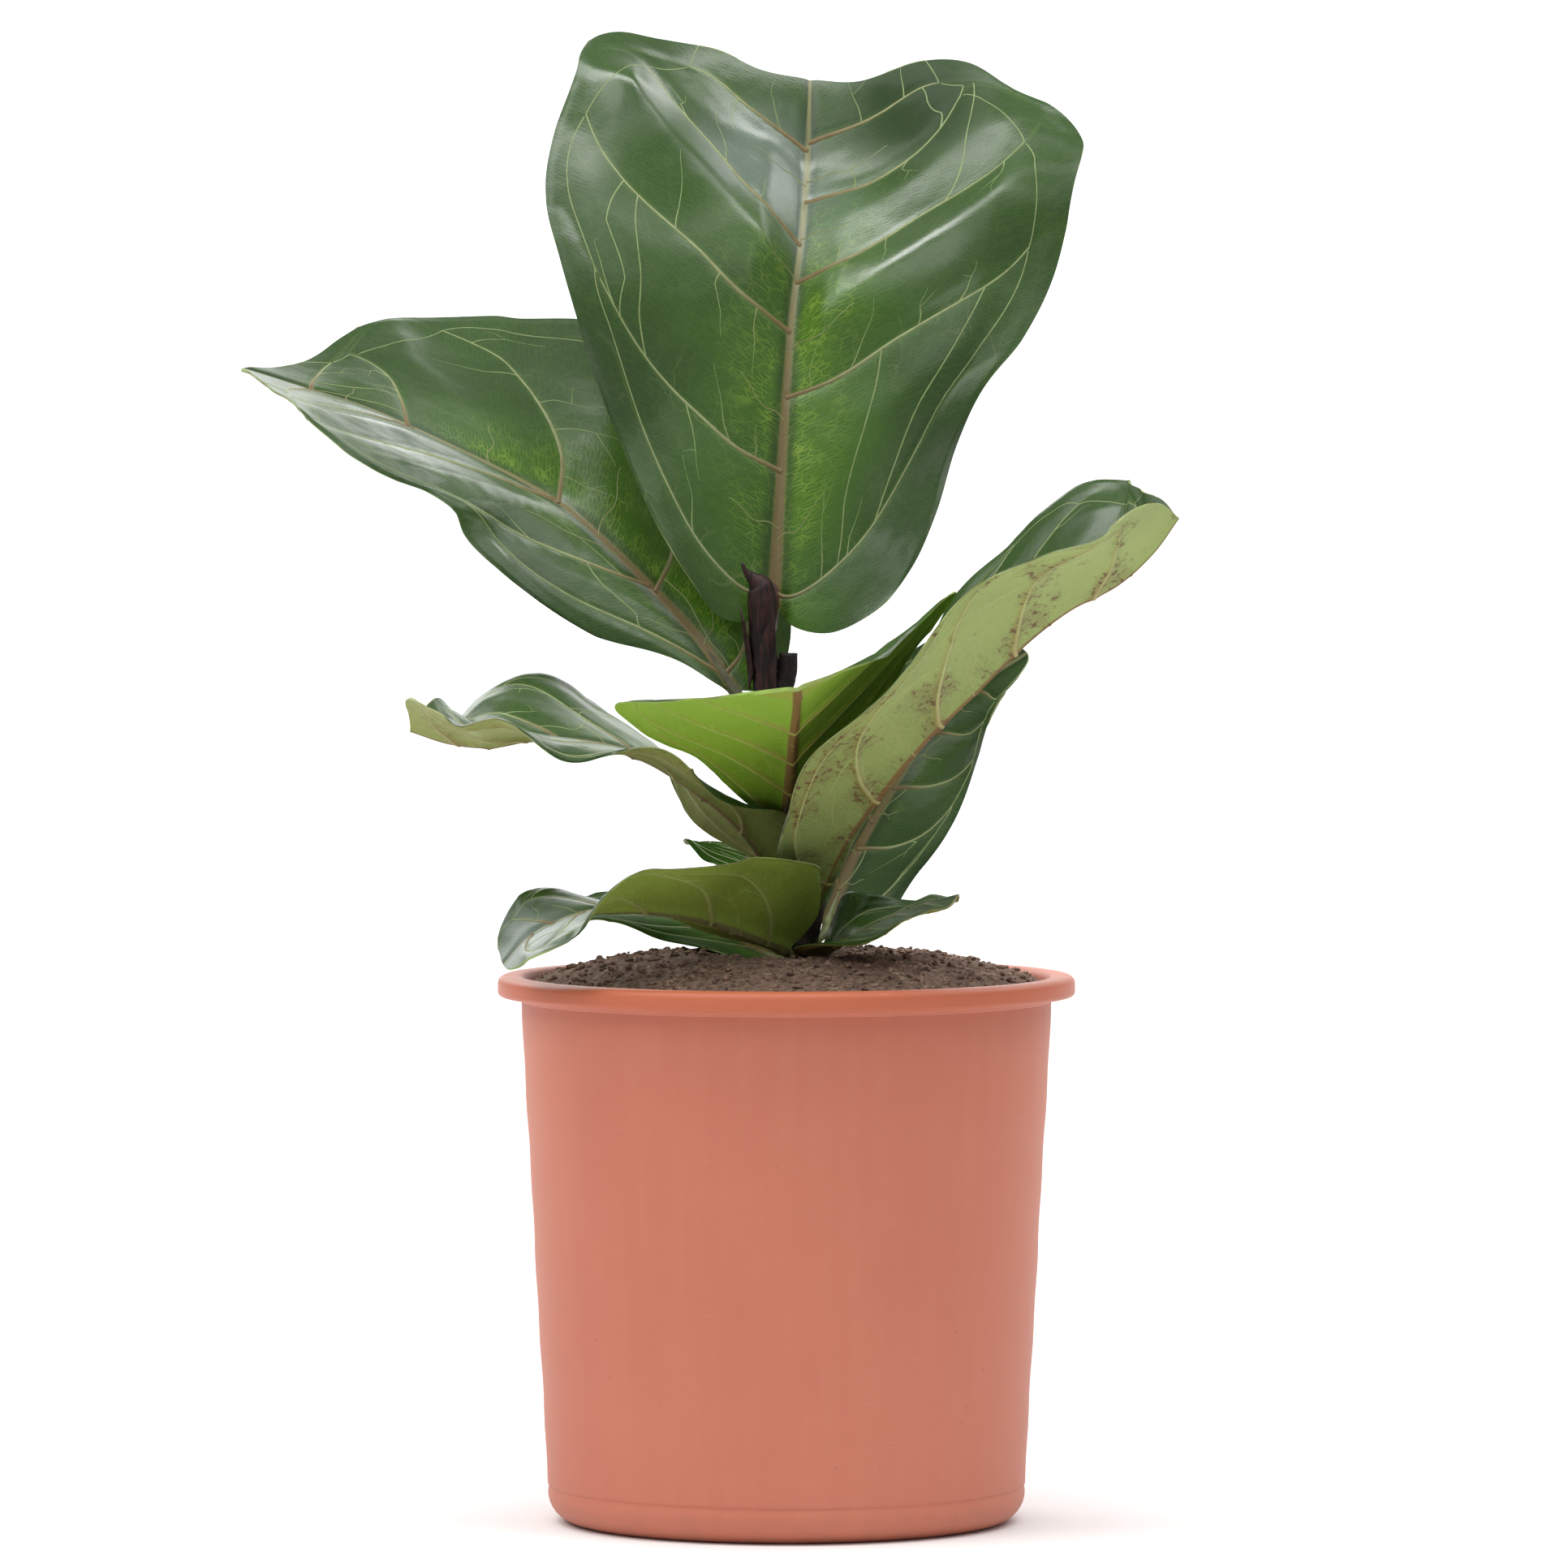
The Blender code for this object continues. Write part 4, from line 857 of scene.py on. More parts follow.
def under_material(look, leaf_settings):
    made, wire = new_material("leaf_under")
    vein = vein_pattern(wire)
    place = vein["place"]
    darker = tinted(look.under, 0.75)
    lighter = tinted(look.under, 1.30, 0.03)
    tone = wire.blend(place.noise(0.03, 3).step(0.3, 0.7), look.under, darker)
    tone = wire.blend(vein["station"].step(0.35, 1.0) * 0.6, tone, lighter)
    tone = wire.blend(vein["branches"] * 0.4, tone, lighter)
    tone = wire.blend(vein["net"] * 0.30, tone, lighter)
    tone = wire.blend((1 - vein["ladder"].step(0.0, 0.45)) * 0.22, tone, lighter)
    tone = wire.blend(vein["halo"] * 0.25, tone, look.rib)
    rib = line(abs(place.parts()[0]), look.rib_width + 0.9 * (1 - vein["station"]), 0.3)
    tone = wire.blend(rib * 0.9, tone, tinted(look.rib, 0.55))
    if look.spots:
        clusters = place.noise(0.055, 2) + 0.12 * (1 - vein["phase"].step(0.0, 0.3))
        clusters = clusters - 0.06 * vein["station"]
        grain = place.noise(0.42, 4, 0.68)
        spots = grain.step(0.52, 0.60) * clusters.step(0.46, 0.62) * look.spots
        tone = wire.blend(clusters.step(0.50, 0.66) * 0.25 * look.spots, tone, leaf_settings.spot_colour)
        tone = wire.blend(spots * 0.8, tone, leaf_settings.spot_colour)
    relief = 0.5 * vein["net"] + 0.4 * vein["branches"] + 0.3 * place.noise(1.1, 3)
    return finished(made, {
        "Base Color": tone,
        "Roughness": 0.58 + 0.12 * place.noise(0.2, 3),
        "Specular IOR Level": 0.35,
        "Normal": wire.bump(relief, 0.00025, 0.8),
    })


def vein_material(name, near, far, fine):
    """Raised veins: near the midrib they are tan, and the finest are nearly as green as the blade."""
    made, wire = new_material(name)
    across, thin, _ = wire.uv("veins").parts()
    tone = wire.blend(across.step(0.0, 0.45), near, far)
    tone = wire.blend(thin, tone, fine)
    mottle = wire.object_place().noise(260, 3)
    return finished(made, {
        "Base Color": wire.blend(mottle.step(0.35, 0.75) * 0.3, tone, tinted(near, 0.6)),
        "Roughness": 0.45 + 0.1 * mottle,
        "Specular IOR Level": 0.4,
    })


def edge_material(look):
    made, wire = new_material("leaf_edge")
    tone = wire.object_place().noise(90, 2).step(0.3, 0.7)
    pale = tinted(look.under, 1.2, 0.05)
    return finished(made, {"Base Color": wire.blend(tone, pale, LEAF_EDGE), "Roughness": 0.5})


def petiole_material(look):
    made, wire = new_material("petiole")
    place = wire.object_place()
    mottle = place.noise(220, 4)
    tone = wire.blend(mottle.step(0.35, 0.7), look.petiole, tinted(look.petiole, 1.9))
    return finished(made, {
        "Base Color": tone,
        "Roughness": 0.38 + 0.2 * mottle,
        "Normal": wire.bump(place.noise(900, 3), 0.00015, 0.6),
    })


# Meshes

def baked_mesh(item):
    """The mesh of an object with its modifiers, in place of the object."""
    bpy.context.view_layer.update()
    graph = bpy.context.evaluated_depsgraph_get()
    mesh = bpy.data.meshes.new_from_object(item.evaluated_get(graph))
    mesh.transform(item.matrix_world)
    bpy.data.objects.remove(item)
    return mesh


def link(item):
    bpy.context.scene.collection.objects.link(item)
    return item


def add_piece(name, mesh, materials, nodes=(), crease=None):
    """A finished piece of the plant, which rides on the frame and may stand for CAD nodes."""
    piece = link(bpy.data.objects.new(name, mesh))
    for made in materials:
        mesh.materials.append(made)
    mesh.shade_smooth()
    if crease:
        mesh.set_sharp_from_angle(angle=radians(crease))
    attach(piece, BODY)
    if nodes:
        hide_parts(*nodes)
    return piece


def mesh_from(work, name):
    """A new mesh with what a bmesh holds. The bmesh is let go."""
    mesh = bpy.data.meshes.new(name)
    work.to_mesh(mesh)
    work.free()
    return mesh


def joined(name, meshes):
    """One mesh from several, each keeping its own material numbers."""
    work = bmesh.new()
    for mesh in meshes:
        work.from_mesh(mesh)
    return mesh_from(work, name)


def number_materials(mesh, number):
    mesh.polygons.foreach_set("material_index", [number] * len(mesh.polygons))


def tube_mesh(name, path, radii, sides):
    """A round tube with closed ends through points in millimetres, with its own radius at each."""
    curve = bpy.data.curves.new(name, "CURVE")
    curve.dimensions = "3D"
    curve.bevel_depth = MM
    curve.bevel_resolution = (sides - 4) // 2
    curve.use_fill_caps = True
    spline = curve.splines.new("POLY")
    spline.points.add(len(path) - 1)
    for point, place, radius in zip(spline.points, path, radii):
        point.co = (*(MM * value for value in place), 1)
        point.radius = radius
    mesh = baked_mesh(link(bpy.data.objects.new(name, curve)))
    work = bmesh.new()
    work.from_mesh(mesh)
    bmesh.ops.remove_doubles(work, verts=work.verts, dist=1e-6)
    bmesh.ops.recalc_face_normals(work, faces=work.faces)
    work.to_mesh(mesh)
    work.free()
    return mesh


def half_grid(rows, columns):
    """How far each point of half a blade is from base to apex, and across from the midrib to the margin."""
    row = np.linspace(0, 1, rows + 1)[:, None] * np.ones(columns + 1)
    across = np.linspace(0, 1, columns + 1) * np.ones((rows + 1, 1))
    return row, across


def blade_maps(leaf, side, row, across):
    """Vein numbers, flat place, and the width of a vein number in mm, on one half of the blade."""
    flat = leaf.flat(side, row, across)
    number = leaf.vein_numbers(side, row, across)
    down = np.gradient(flat, axis=0)
    out = np.gradient(flat, axis=1)
    number_down = np.gradient(number, axis=0)
    number_out = np.gradient(number, axis=1)
    area = down[..., 0] * out[..., 1] - down[..., 1] * out[..., 0]
    area = np.where(abs(area) < 1e-6, 1e-6, area)
    slope_x = (out[..., 1] * number_down - down[..., 1] * number_out) / area
    slope_y = (down[..., 0] * number_out - out[..., 0] * number_down) / area
    gap = np.clip(1 / np.maximum(np.hypot(slope_x, slope_y), 1e-6), 3, 80)
    return number, flat, gap


def blade_relief(leaf, look, side, number, flat, gap, row, across, depth):
    """How far the upper face stands off its smooth form, and how thick the blade and its ribs are, in mm."""
    phase = abs((number + 0.5) % 1 - 0.5)
    vein_mm = phase * gap
    x = flat[..., 0]
    station = np.clip(flat[..., 1] / leaf.length, 0, 1)
    size = min(1.0, leaf.length / 110)
    inner = (1 - soft_step(across, 0.70, 0.98)) * (1 - soft_step(row, 0.86, 0.99))
    present = soft_step(number, -0.5, -0.1)
    # A panel between two side veins rises slowly from the lower one and drops fast to the upper one.
    share = np.array(look.panels[side])[np.clip(number.astype(int) + 1, 0, 5) - (number < 0)]
    rising = (number % 1) / CREST
    falling = (1 - number % 1) / (1 - CREST)
    crest = np.clip(-np.log(np.exp(-7 * rising) + np.exp(-7 * falling)) / 7, 0, 1) ** 1.3
    panel = share * crest * np.clip(gap / 32, 0.25, 1.2)
    ridge_number, ridge_height = look.ridges[side]
    ridge = ridge_height * np.clip(1.1 - np.hypot((number - ridge_number) / RIDGE_REACH, 0.14), 0, 1) ** 1.2
    puff = (look.puff * panel + ridge) * inner * soft_step(x, 0, 16)
    billow = 0.25 * look.puff * noise_at(flat, 34.0, 2.3) * soft_step(x, 0, 12) * (0.3 + 0.7 * inner)
    small = 0.16 * size * noise_at(flat, 9.0, 1.7) + 0.07 * size * noise_at(flat, 3.6, 5.3)
    groove = GROOVE_DEPTH * size * np.exp(-((vein_mm / 1.3) ** 2)) * (1 - 0.7 * across) * present
    channel = CHANNEL_DEPTH * size * np.exp(-((x / (1.6 + 2.0 * (1 - station))) ** 2))
    roll = MARGIN_ROLL * size * soft_step(across, 0.93, 1.0) ** 2
    roll = roll * soft_step(row, 0.0, 0.1) * (1 - soft_step(row, 0.9, 1.0))
    # The top of the blade is dished, and comes forward again at its margin.
    dish = look.dish * np.exp(-((x / DISH_REACH) ** 2)) * soft_step(station, 0.58, 0.88)
    dish = dish * (1 - soft_step(row, 0.88, 1.0)) * (1 - soft_step(across, 0.6, 1.0))
    relief = puff + billow - dish + small * soft_step(x, 0, 4) - groove - channel - roll
    blade = depth.blade / MM * (1 - 0.45 * soft_step(across, 0.8, 1.0))
    rib_width = (0.5 + 0.9 * (1 - across)) * (0.6 + 0.4 * size)
    lateral = depth.lateral_rib / MM * (1 - 0.7 * across) * np.exp(-((vein_mm / rib_width) ** 2)) * present
    midrib_width = (0.8 + 1.1 * (1 - station)) * (0.6 + 0.4 * size)
    midrib = depth.midrib / MM * (1 - 0.7 * station) * np.exp(-((x / midrib_width) ** 2))
    return relief, blade + np.maximum(lateral, midrib) * (0.7 + 0.3 * size)


def both_halves(first, second):
    """Side 0 from its margin to the midrib, then side 1 out to its margin."""
    return np.concatenate([first[:, :0:-1], second], axis=1)


def blade_grid(leaf, depth, look):
    """The blade on a fine grid: its maps on each half, and place, normal and thickness over both, in mm."""
    spacing = float(np.clip(leaf.length / 130, 0.55, depth.grid / MM))
    rows = int(np.ceil(leaf.length * 1.15 / spacing))
    columns = int(np.ceil(max(leaf.half_widths) / spacing))
    row, across = half_grid(rows, columns)
    halves = []
    for side in (0, 1):
        number, flat, gap = blade_maps(leaf, side, row, across)
        if look:
            relief, thickness = blade_relief(leaf, look, side, number, flat, gap, row, across, depth)
        else:
            relief = 0.25 * noise_at(flat, 2.5, 9.1) * across
            thickness = np.full(row.shape, SCALE_THICKNESS)
        halves.append((leaf.surface(side, row, across), number, flat, gap, relief, thickness))
    place, _, _, _, relief, thickness = (both_halves(*pair) for pair in zip(*halves))
    normal = grid_normals(place)
    _, _, up, _ = leaf.frame_at(np.array([leaf.length / 4]))
    if (normal[rows // 3, columns] * up[0]).sum() < 0:
        normal = -normal
    raised = place + normal * relief[..., None]
    return halves, across, raised, normal, thickness


def grid_normals(place):
    return unit(np.cross(np.gradient(place, axis=1), np.gradient(place, axis=0)))


def blade_mesh(name, leaf, grid, materials):
    """The blade as a closed shell with its veins in relief, and its pattern in three UV maps."""
    halves, across, place, _, thickness = grid
    rows = place.shape[0] - 1
    columns = (place.shape[1] - 1) // 2
    work = bmesh.new()
    bmesh.ops.create_grid(work, x_segments=2 * columns, y_segments=rows, size=1)
    group = work.verts.layers.deform.verify()
    most = float(thickness.max())
    for vertex in work.verts:
        i = round((vertex.co.y + 1) / 2 * rows)
        j = round((vertex.co.x + 1) * columns)
        vertex.co = place[i, j] * MM
        vertex[group][0] = thickness[i, j] / most
    mesh = mesh_from(work, name)
    add_pattern_maps(mesh, halves, across, columns, leaf)
    item = link(bpy.data.objects.new(name, mesh))
    item.vertex_groups.new(name="thickness")
    for made in materials:
        mesh.materials.append(made)
    solid = item.modifiers.new("Thickness", "SOLIDIFY")
    solid.thickness = most * MM
    solid.offset = -1
    solid.vertex_group = "thickness"
    solid.thickness_vertex_group = 0
    solid.material_offset = 1
    solid.material_offset_rim = 2
    return baked_mesh(item)


def vein_lines(leaf, chance):
    """The raised veins of a blade, each as (side, vein numbers, places across, radii in mm, fineness)."""
    thinner = 0.5 + 0.5 * min(1.0, leaf.length / 130)
    lines = []
    for side in (0, 1):
        reach = leaf.vein_reach(side)
        width = leaf.half_widths[side]
        for i, furthest in enumerate(reach):
            steps = np.linspace(0, 1, SIDE_VEIN_STEPS)
            radii = (0.21 + 0.64 * (1 - steps) ** 1.4) * thinner
            lines.append((side, np.full(SIDE_VEIN_STEPS, float(i)), furthest * steps, radii, 0.0))
            after = reach[i + 1] if i + 1 < len(reach) else 0.3
            steps = np.linspace(0, 0.97, LOOP_STEPS)
            across = furthest + (after - furthest) * steps + 0.045 * np.sin(pi * steps)
            lines.append((side, i + steps, across, np.full(LOOP_STEPS, LOOP_RADIUS) * thinner, 0.4))
            place = chance.uniform(0.08, 0.20)
            while place < furthest - 0.06:
                way = chance.choice((-1, 1))
                crossing = chance.random() < 0.22 and 0 <= i + way < len(reach)
                run = 1.0 if crossing and place < reach[i + way] else chance.uniform(0.25, 0.6)
                if i > 0 or way > 0:
                    lines += branch_lines(side, i, place, way, run, width, thinner, chance)
                place += chance.uniform(9, 18) / width
            if i + 1 < len(reach):
                steps = np.linspace(0, 1, SPUR_STEPS)
                middle = i + chance.uniform(0.35, 0.65)
                run = chance.uniform(0.2, 0.5) * furthest
                wander = middle + 0.15 * chance.uniform(-1, 1) * steps**2 + 0.02 * np.sin(9 * steps)
                radii = (BRANCH_RADIUS - 0.14 * steps) * thinner
                lines.append((side, wander, run * steps, radii, 0.4))
    return lines


def branch_lines(side, vein, place, way, run, width, thinner, chance):
    """A fine vein that leaves a side vein nearly square to it, sways a little, thins away and often forks."""
    steps = np.linspace(0, 1, BRANCH_STEPS)
    bends = np.concatenate([[0], np.cumsum(chance.uniform(-3.0, 4.5, 3) * (0.3 + run))])
    kinks = np.interp(steps, [0, chance.uniform(0.25, 0.4), chance.uniform(0.6, 0.75), 1], bends)
    number = vein + way * run * steps
    across = place + (kinks + 0.5 * run * np.sin(9 * steps)) / width
    ends = 1.0 if run < 1 else 0.0
    radii = (BRANCH_RADIUS - (0.05 + 0.13 * ends) * np.sin(pi * steps / 2)) * thinner
    fineness = 0.45 + (0.25 + 0.3 * ends) * np.sin(pi * steps * (1 - 0.5 * ends))
    lines = [(side, number, across, radii, fineness)]
    if run < 1 and chance.random() < 0.5:
        start = chance.integers(8, 14)
        turn = chance.choice((-1, 1))
        fork = across[start] + turn * chance.uniform(3, 8) / width * steps**0.8
        ahead = number[start] + way * chance.uniform(0.06, 0.16) * steps
        lines.append((side, ahead, fork, radii[start] * (1 - 0.7 * steps), 0.6 + 0.4 * steps))
    return lines


def read_grid(values, row, column):
    """Values between the grid's points, by rows and columns that need not be whole."""
    i = np.clip(row.astype(int), 0, values.shape[0] - 2)
    j = np.clip(column.astype(int), 0, values.shape[1] - 2)
    u = (row - i)[:, None]
    v = (column - j)[:, None]
    lower = values[i, j] * (1 - v) + values[i, j + 1] * v
    upper = values[i + 1, j] * (1 - v) + values[i + 1, j + 1] * v
    return lower * (1 - u) + upper * u


def vein_mesh(name, leaf, grid, lines, under):
    """Low ridges along the veins of one face, with the place across and the fineness as a UV map."""
    _, _, place, normal, thickness = grid
    rows = place.shape[0] - 1
    columns = (place.shape[1] - 1) // 2
    middles, ups, beside, radii, marks, owners = [], [], [], [], [], []
    for owner, (side, number, across, radius, fine) in enumerate(lines):
        across = np.clip(across, 0, 0.97)
        row = leaf.vein_row(side, number, across) * rows
        column = columns + across * columns * (1 if side else -1)
        up = unit(read_grid(normal, row, column))
        middle = read_grid(place, row, column)
        if under:
            middle = middle - up * read_grid(thickness[..., None], row, column)
            up = -up
            radius = 0.75 * radius
        along = unit(np.gradient(middle, axis=0) + 1e-9)
        middles.append(middle)
        ups.append(up)
        beside.append(unit(np.cross(along, up)))
        radii.append(radius)
        marks.append(np.stack([across, fine + 0 * across], -1))
        owners.append(np.full(len(across), owner))
    middles, ups, beside, marks = (np.concatenate(parts) for parts in (middles, ups, beside, marks))
    radii, owners = (np.concatenate(parts) for parts in (radii, owners))
    work = bmesh.new()
    bmesh.ops.create_grid(work, x_segments=len(VEIN_SECTION) - 1, y_segments=len(middles) - 1, size=1)
    work.verts.ensure_lookup_table()
    points = [
        (middles + radii[:, None] * (out * beside + (0.55 * rise + 0.1) * ups)) * MM
        for out, rise in VEIN_SECTION
    ]
    points = np.stack(points, 1).reshape(-1, 3)
    for vertex, point in zip(work.verts, points):
        vertex.co = point
    layer = work.loops.layers.uv.new("veins")
    bridges = []
    for face in work.faces:
        steps = {vertex.index // len(VEIN_SECTION) for vertex in face.verts}
        if len({owners[step] for step in steps}) > 1:
            bridges.append(face)
            continue
        for corner in face.loops:
            corner[layer].uv = marks[corner.vert.index // len(VEIN_SECTION)]
    bmesh.ops.delete(work, geom=bridges, context="FACES")
    return mesh_from(work, name)


def add_pattern_maps(mesh, halves, across, columns, leaf):
    """UV maps of the blade.

    Veins holds the place across and the vein number, blade the flat place in millimetres, and measure the
    gap between two veins in millimetres and the station along the midrib.
    """
    corners = np.empty(len(mesh.loops), int)
    mesh.loops.foreach_get("vertex_index", corners)
    # create_grid numbers its points row by row.
    i, j = np.divmod(corners, 2 * columns + 1)
    side = (j.reshape(-1, 4).mean(axis=1) > columns).repeat(4).astype(int)
    j = abs(j - columns)
    maps = {"veins": [], "blade": [], "measure": []}
    for number, (_, vein, flat, gap, _, _) in enumerate(halves):
        sign = 1 if number else -1
        maps["veins"].append(np.stack([sign * np.maximum(across, 1e-3), vein], -1))
        maps["blade"].append(flat * (sign, 1))
        maps["measure"].append(np.stack([gap, flat[..., 1] / leaf.length], -1))
    for name, sides in maps.items():
        layer = mesh.uv_layers.new(name=name)
        values = np.stack(sides)[side, i, j]
        layer.uv.foreach_set("vector", values.astype(np.float32).ravel())


def stem_axis(height):
    return np.array([np.interp(height, [p[2] for p in STEM_PATH], [p[0] for p in STEM_PATH]), 0, height])


def petiole_mesh(name, leaf):
    """The stalk from the stem's axis to a little way under the midrib."""
    start = stem_axis(leaf.petiole[2] - 4)
    points, _, up, _ = leaf.frame_at(np.array([0.0, 0.25, 0.6, 1.0]) * LOOKS[name].stalk_reach * leaf.length)
    sunk = points - up * (leaf.petiole_radius * np.array([0.75, 1.1, 1.25, 1.3]))[:, None]
    path = smooth_path([start, leaf.petiole, *sunk], 8)
    ends = lengths_along(path) / lengths_along(path)[-1]
    radii = leaf.petiole_radius * np.interp(ends, [0, 0.2, 0.5, 0.8, 1], [1.3, 1.05, 0.9, 0.5, 0.15])
    mesh = tube_mesh(name, path, radii, 20)
    number_materials(mesh, 3)
    return mesh


def roughened(mesh, depth, scale, upright=1.0, seed=0.0):
    """Moves the points in and out by noise, stretched along Z by upright."""
    normals = [vertex.normal.copy() for vertex in mesh.vertices]
    for vertex, normal in zip(mesh.vertices, normals):
        place = Vector((vertex.co.x, vertex.co.y, vertex.co.z / upright)) / scale
        lump = noise.noise(place + Vector((seed, 0, 0))) + 0.5 * noise.noise(place * 2.3)
        vertex.co += normal * depth * lump
    return mesh


def stem_mesh(radius):
    path = smooth_path(STEM_PATH, 14)
    path[:, 0] = [stem_axis(height)[0] for height in path[:, 2]]
    swell = sum(np.exp(-(((path[:, 2] - scar) / 1.3) ** 2)) for scar in LEAF_SCARS)
    taper = np.interp(path[:, 2], [250, 300], [1.0, 0.9])
    radii = radius / MM * taper * (1 + 0.12 * swell)
    radii[path[:, 2] < 188] = radius / MM
    trunk = roughened(tube_mesh("trunk", path, radii, 40), 0.22 * MM, 1.6 * MM, 2.2)
    stub_path = smooth_path(STUB_PATH, 6)
    stub = tube_mesh("stub", stub_path, [STUB_RADIUS] * len(stub_path), 24)
    return joined("stem", [trunk, roughened(stub, 0.12 * MM, 1.5 * MM, 1.5)])


def sheath_mesh():
    path = smooth_path(SHEATH_PATH, 6)
    radii = np.interp(np.arange(len(path)) / 6, range(len(SHEATH_RADII)), SHEATH_RADII)
    return roughened(tube_mesh("sheath", path, radii, 28), 0.28 * MM, 1.7 * MM, 3.5)


def quarter_round(corner, out, up, steps):
    """Points of a quarter circle from one side of a corner to the other, as (radius, height)."""
    angles = np.linspace(0, pi / 2, steps)
    return [(corner[0] + out * (1 - np.sin(angle)), corner[1] + up * (1 - np.cos(angle))) for angle in angles]


def pot_profile(pot):
    """From the floor's centre up the inner wall, over the rim and down the outer side, in metres."""
    rim = pot.rim_radius
    top = pot.height
    neck = pot.neck_radius
    foot = pot.foot_radius
    rim_bottom = top - pot.rim_height
    inner_foot = foot - pot.wall
    inner_neck = neck - pot.wall
    bead = quarter_round((rim, top), -RIM_ROUNDING, -RIM_ROUNDING, 9)
    lower_bead = quarter_round((rim, rim_bottom), -RIM_LOWER_ROUNDING, RIM_LOWER_ROUNDING, 6)
    fillet = quarter_round((neck, rim_bottom), NECK_FILLET, -NECK_FILLET, 6)
    foot_round = quarter_round((foot, 0), -FOOT_ROUNDING, FOOT_ROUNDING, 10)
    outside = []
    for height in np.linspace(rim_bottom - 0.0018, SEAM_HEIGHT + 0.0012, 36):
        share = (height - SEAM_HEIGHT) / (rim_bottom - SEAM_HEIGHT)
        ripple = 0.00012 * np.sin(height * 240) + 0.00008 * np.sin(height * 91 + 1)
        outside.append((foot + (neck - foot) * share + ripple, height))
    return [
        (0, POT_FLOOR), (inner_foot - 0.02, POT_FLOOR), (inner_foot - 0.004, POT_FLOOR),
        (inner_foot - 0.0012, POT_FLOOR + 0.0012), (inner_foot, POT_FLOOR + 0.004),
        (inner_neck, rim_bottom), (inner_neck + 0.0005, top - 0.002), (inner_neck + 0.0011, top - 0.0008),
        (inner_neck + 0.0020, top - 0.0001), (inner_neck + 0.0030, top),
        *bead, (rim, rim_bottom + 0.003), *reversed(lower_bead), *fillet, *outside,
        (foot, SEAM_HEIGHT + 0.0004), (foot - 0.0003, SEAM_HEIGHT), (foot - 0.0002, SEAM_HEIGHT - 0.0008),
        *reversed(foot_round), (foot - 0.03, 0), (0, 0),
    ]


def turned(name, profile, steps):
    """A profile of (radius, height) points turned about Z, with the doubled points merged."""
    work = bmesh.new()
    points = [work.verts.new((radius, 0, height)) for radius, height in profile]
    edges = [work.edges.new(pair) for pair in zip(points, points[1:])]
    bmesh.ops.spin(
        work, geom=points + edges, cent=(0, 0, 0), axis=(0, 0, 1), angle=2 * pi, steps=steps, use_merge=True,
    )
    bmesh.ops.remove_doubles(work, verts=work.verts, dist=2e-5)
    bmesh.ops.recalc_face_normals(work, faces=work.faces)
    # Spin makes its faces in another order each run, so they are put in the order of their points.
    work.verts.index_update()
    count = len(work.verts)
    work.faces.sort(key=lambda face: face.verts[0].index * count + face.verts[1].index)
    return mesh_from(work, name)


def pot_mesh(pot):
    item = link(bpy.data.objects.new("pot_body", turned("pot_body", pot_profile(pot), POT_STEPS)))
    work = bmesh.new()
    for hole in range(DRAIN_HOLES):
        angle = 2 * pi * (hole + 0.5) / DRAIN_HOLES
        made = bmesh.ops.create_cone(
            work, cap_ends=True, segments=24, radius1=DRAIN_RADIUS, radius2=DRAIN_RADIUS, depth=0.02
        )
        place = (DRAIN_RING * np.cos(angle), DRAIN_RING * np.sin(angle), 0)
        bmesh.ops.translate(work, verts=made["verts"], vec=place)
    cutter = link(bpy.data.objects.new("drain_holes", mesh_from(work, "drain_holes")))
    cut = item.modifiers.new("Drain holes", "BOOLEAN")
    cut.operation = "DIFFERENCE"
    cut.solver = "EXACT"
    cut.object = cutter
    made = baked_mesh(item)
    bpy.data.objects.remove(cutter)
    return made


def soil_height(soil, radius):
    """The soil's smooth height: domed, with a shallow dimple round the stem."""
    share = np.clip(radius / soil.radius, 0, 1)
    dimple = soil.dimple * np.exp(-((radius / DIMPLE_WIDTH) ** 2))
    return soil.edge_height + soil.dome * (1 - share**3) - dimple


def soil_lump(place):
    """Crumbly noise on the soil's surface, in metres."""
    coarse = noise.noise(place / 0.009) + 0.5 * noise.noise(place / 0.0045)
    fine = abs(noise.noise(place / 0.0024)) + 0.6 * abs(noise.noise(place / 0.0012))
    return 0.0009 * coarse + 0.0011 * (fine - 0.3)


def soil_surface(soil, x, y):
    """The soil's height with its crumbs, which are quieter by the pot and round the stem."""
    radius = float(np.hypot(x, y))
    rim_fade = min(1, max(0, (soil.radius - radius) / 0.003))
    quiet = min(1, radius / QUIET_RADIUS)
    lump = soil_lump(Vector((x, y, 0.02))) * rim_fade * (0.35 + 0.65 * quiet)
    return float(soil_height(soil, radius)) + lump


def soil_mesh(soil):
    radii = [soil.radius * ring / SOIL_RINGS for ring in range(SOIL_RINGS + 1)]
    profile = [(radius, float(soil_height(soil, radius))) for radius in radii]
    profile += [(soil.radius - 0.002, 0.150), (soil.radius - 0.008, SOIL_BOTTOM + 0.004)]
    profile += [(soil.radius - 0.013, SOIL_BOTTOM), (0, SOIL_BOTTOM)]
    mesh = turned("soil", profile, SOIL_STEPS)
    for vertex in mesh.vertices:
        if vertex.co.z >= soil.edge_height - 0.0002:
            vertex.co.z = soil_surface(soil, vertex.co.x, vertex.co.y)
    return mesh


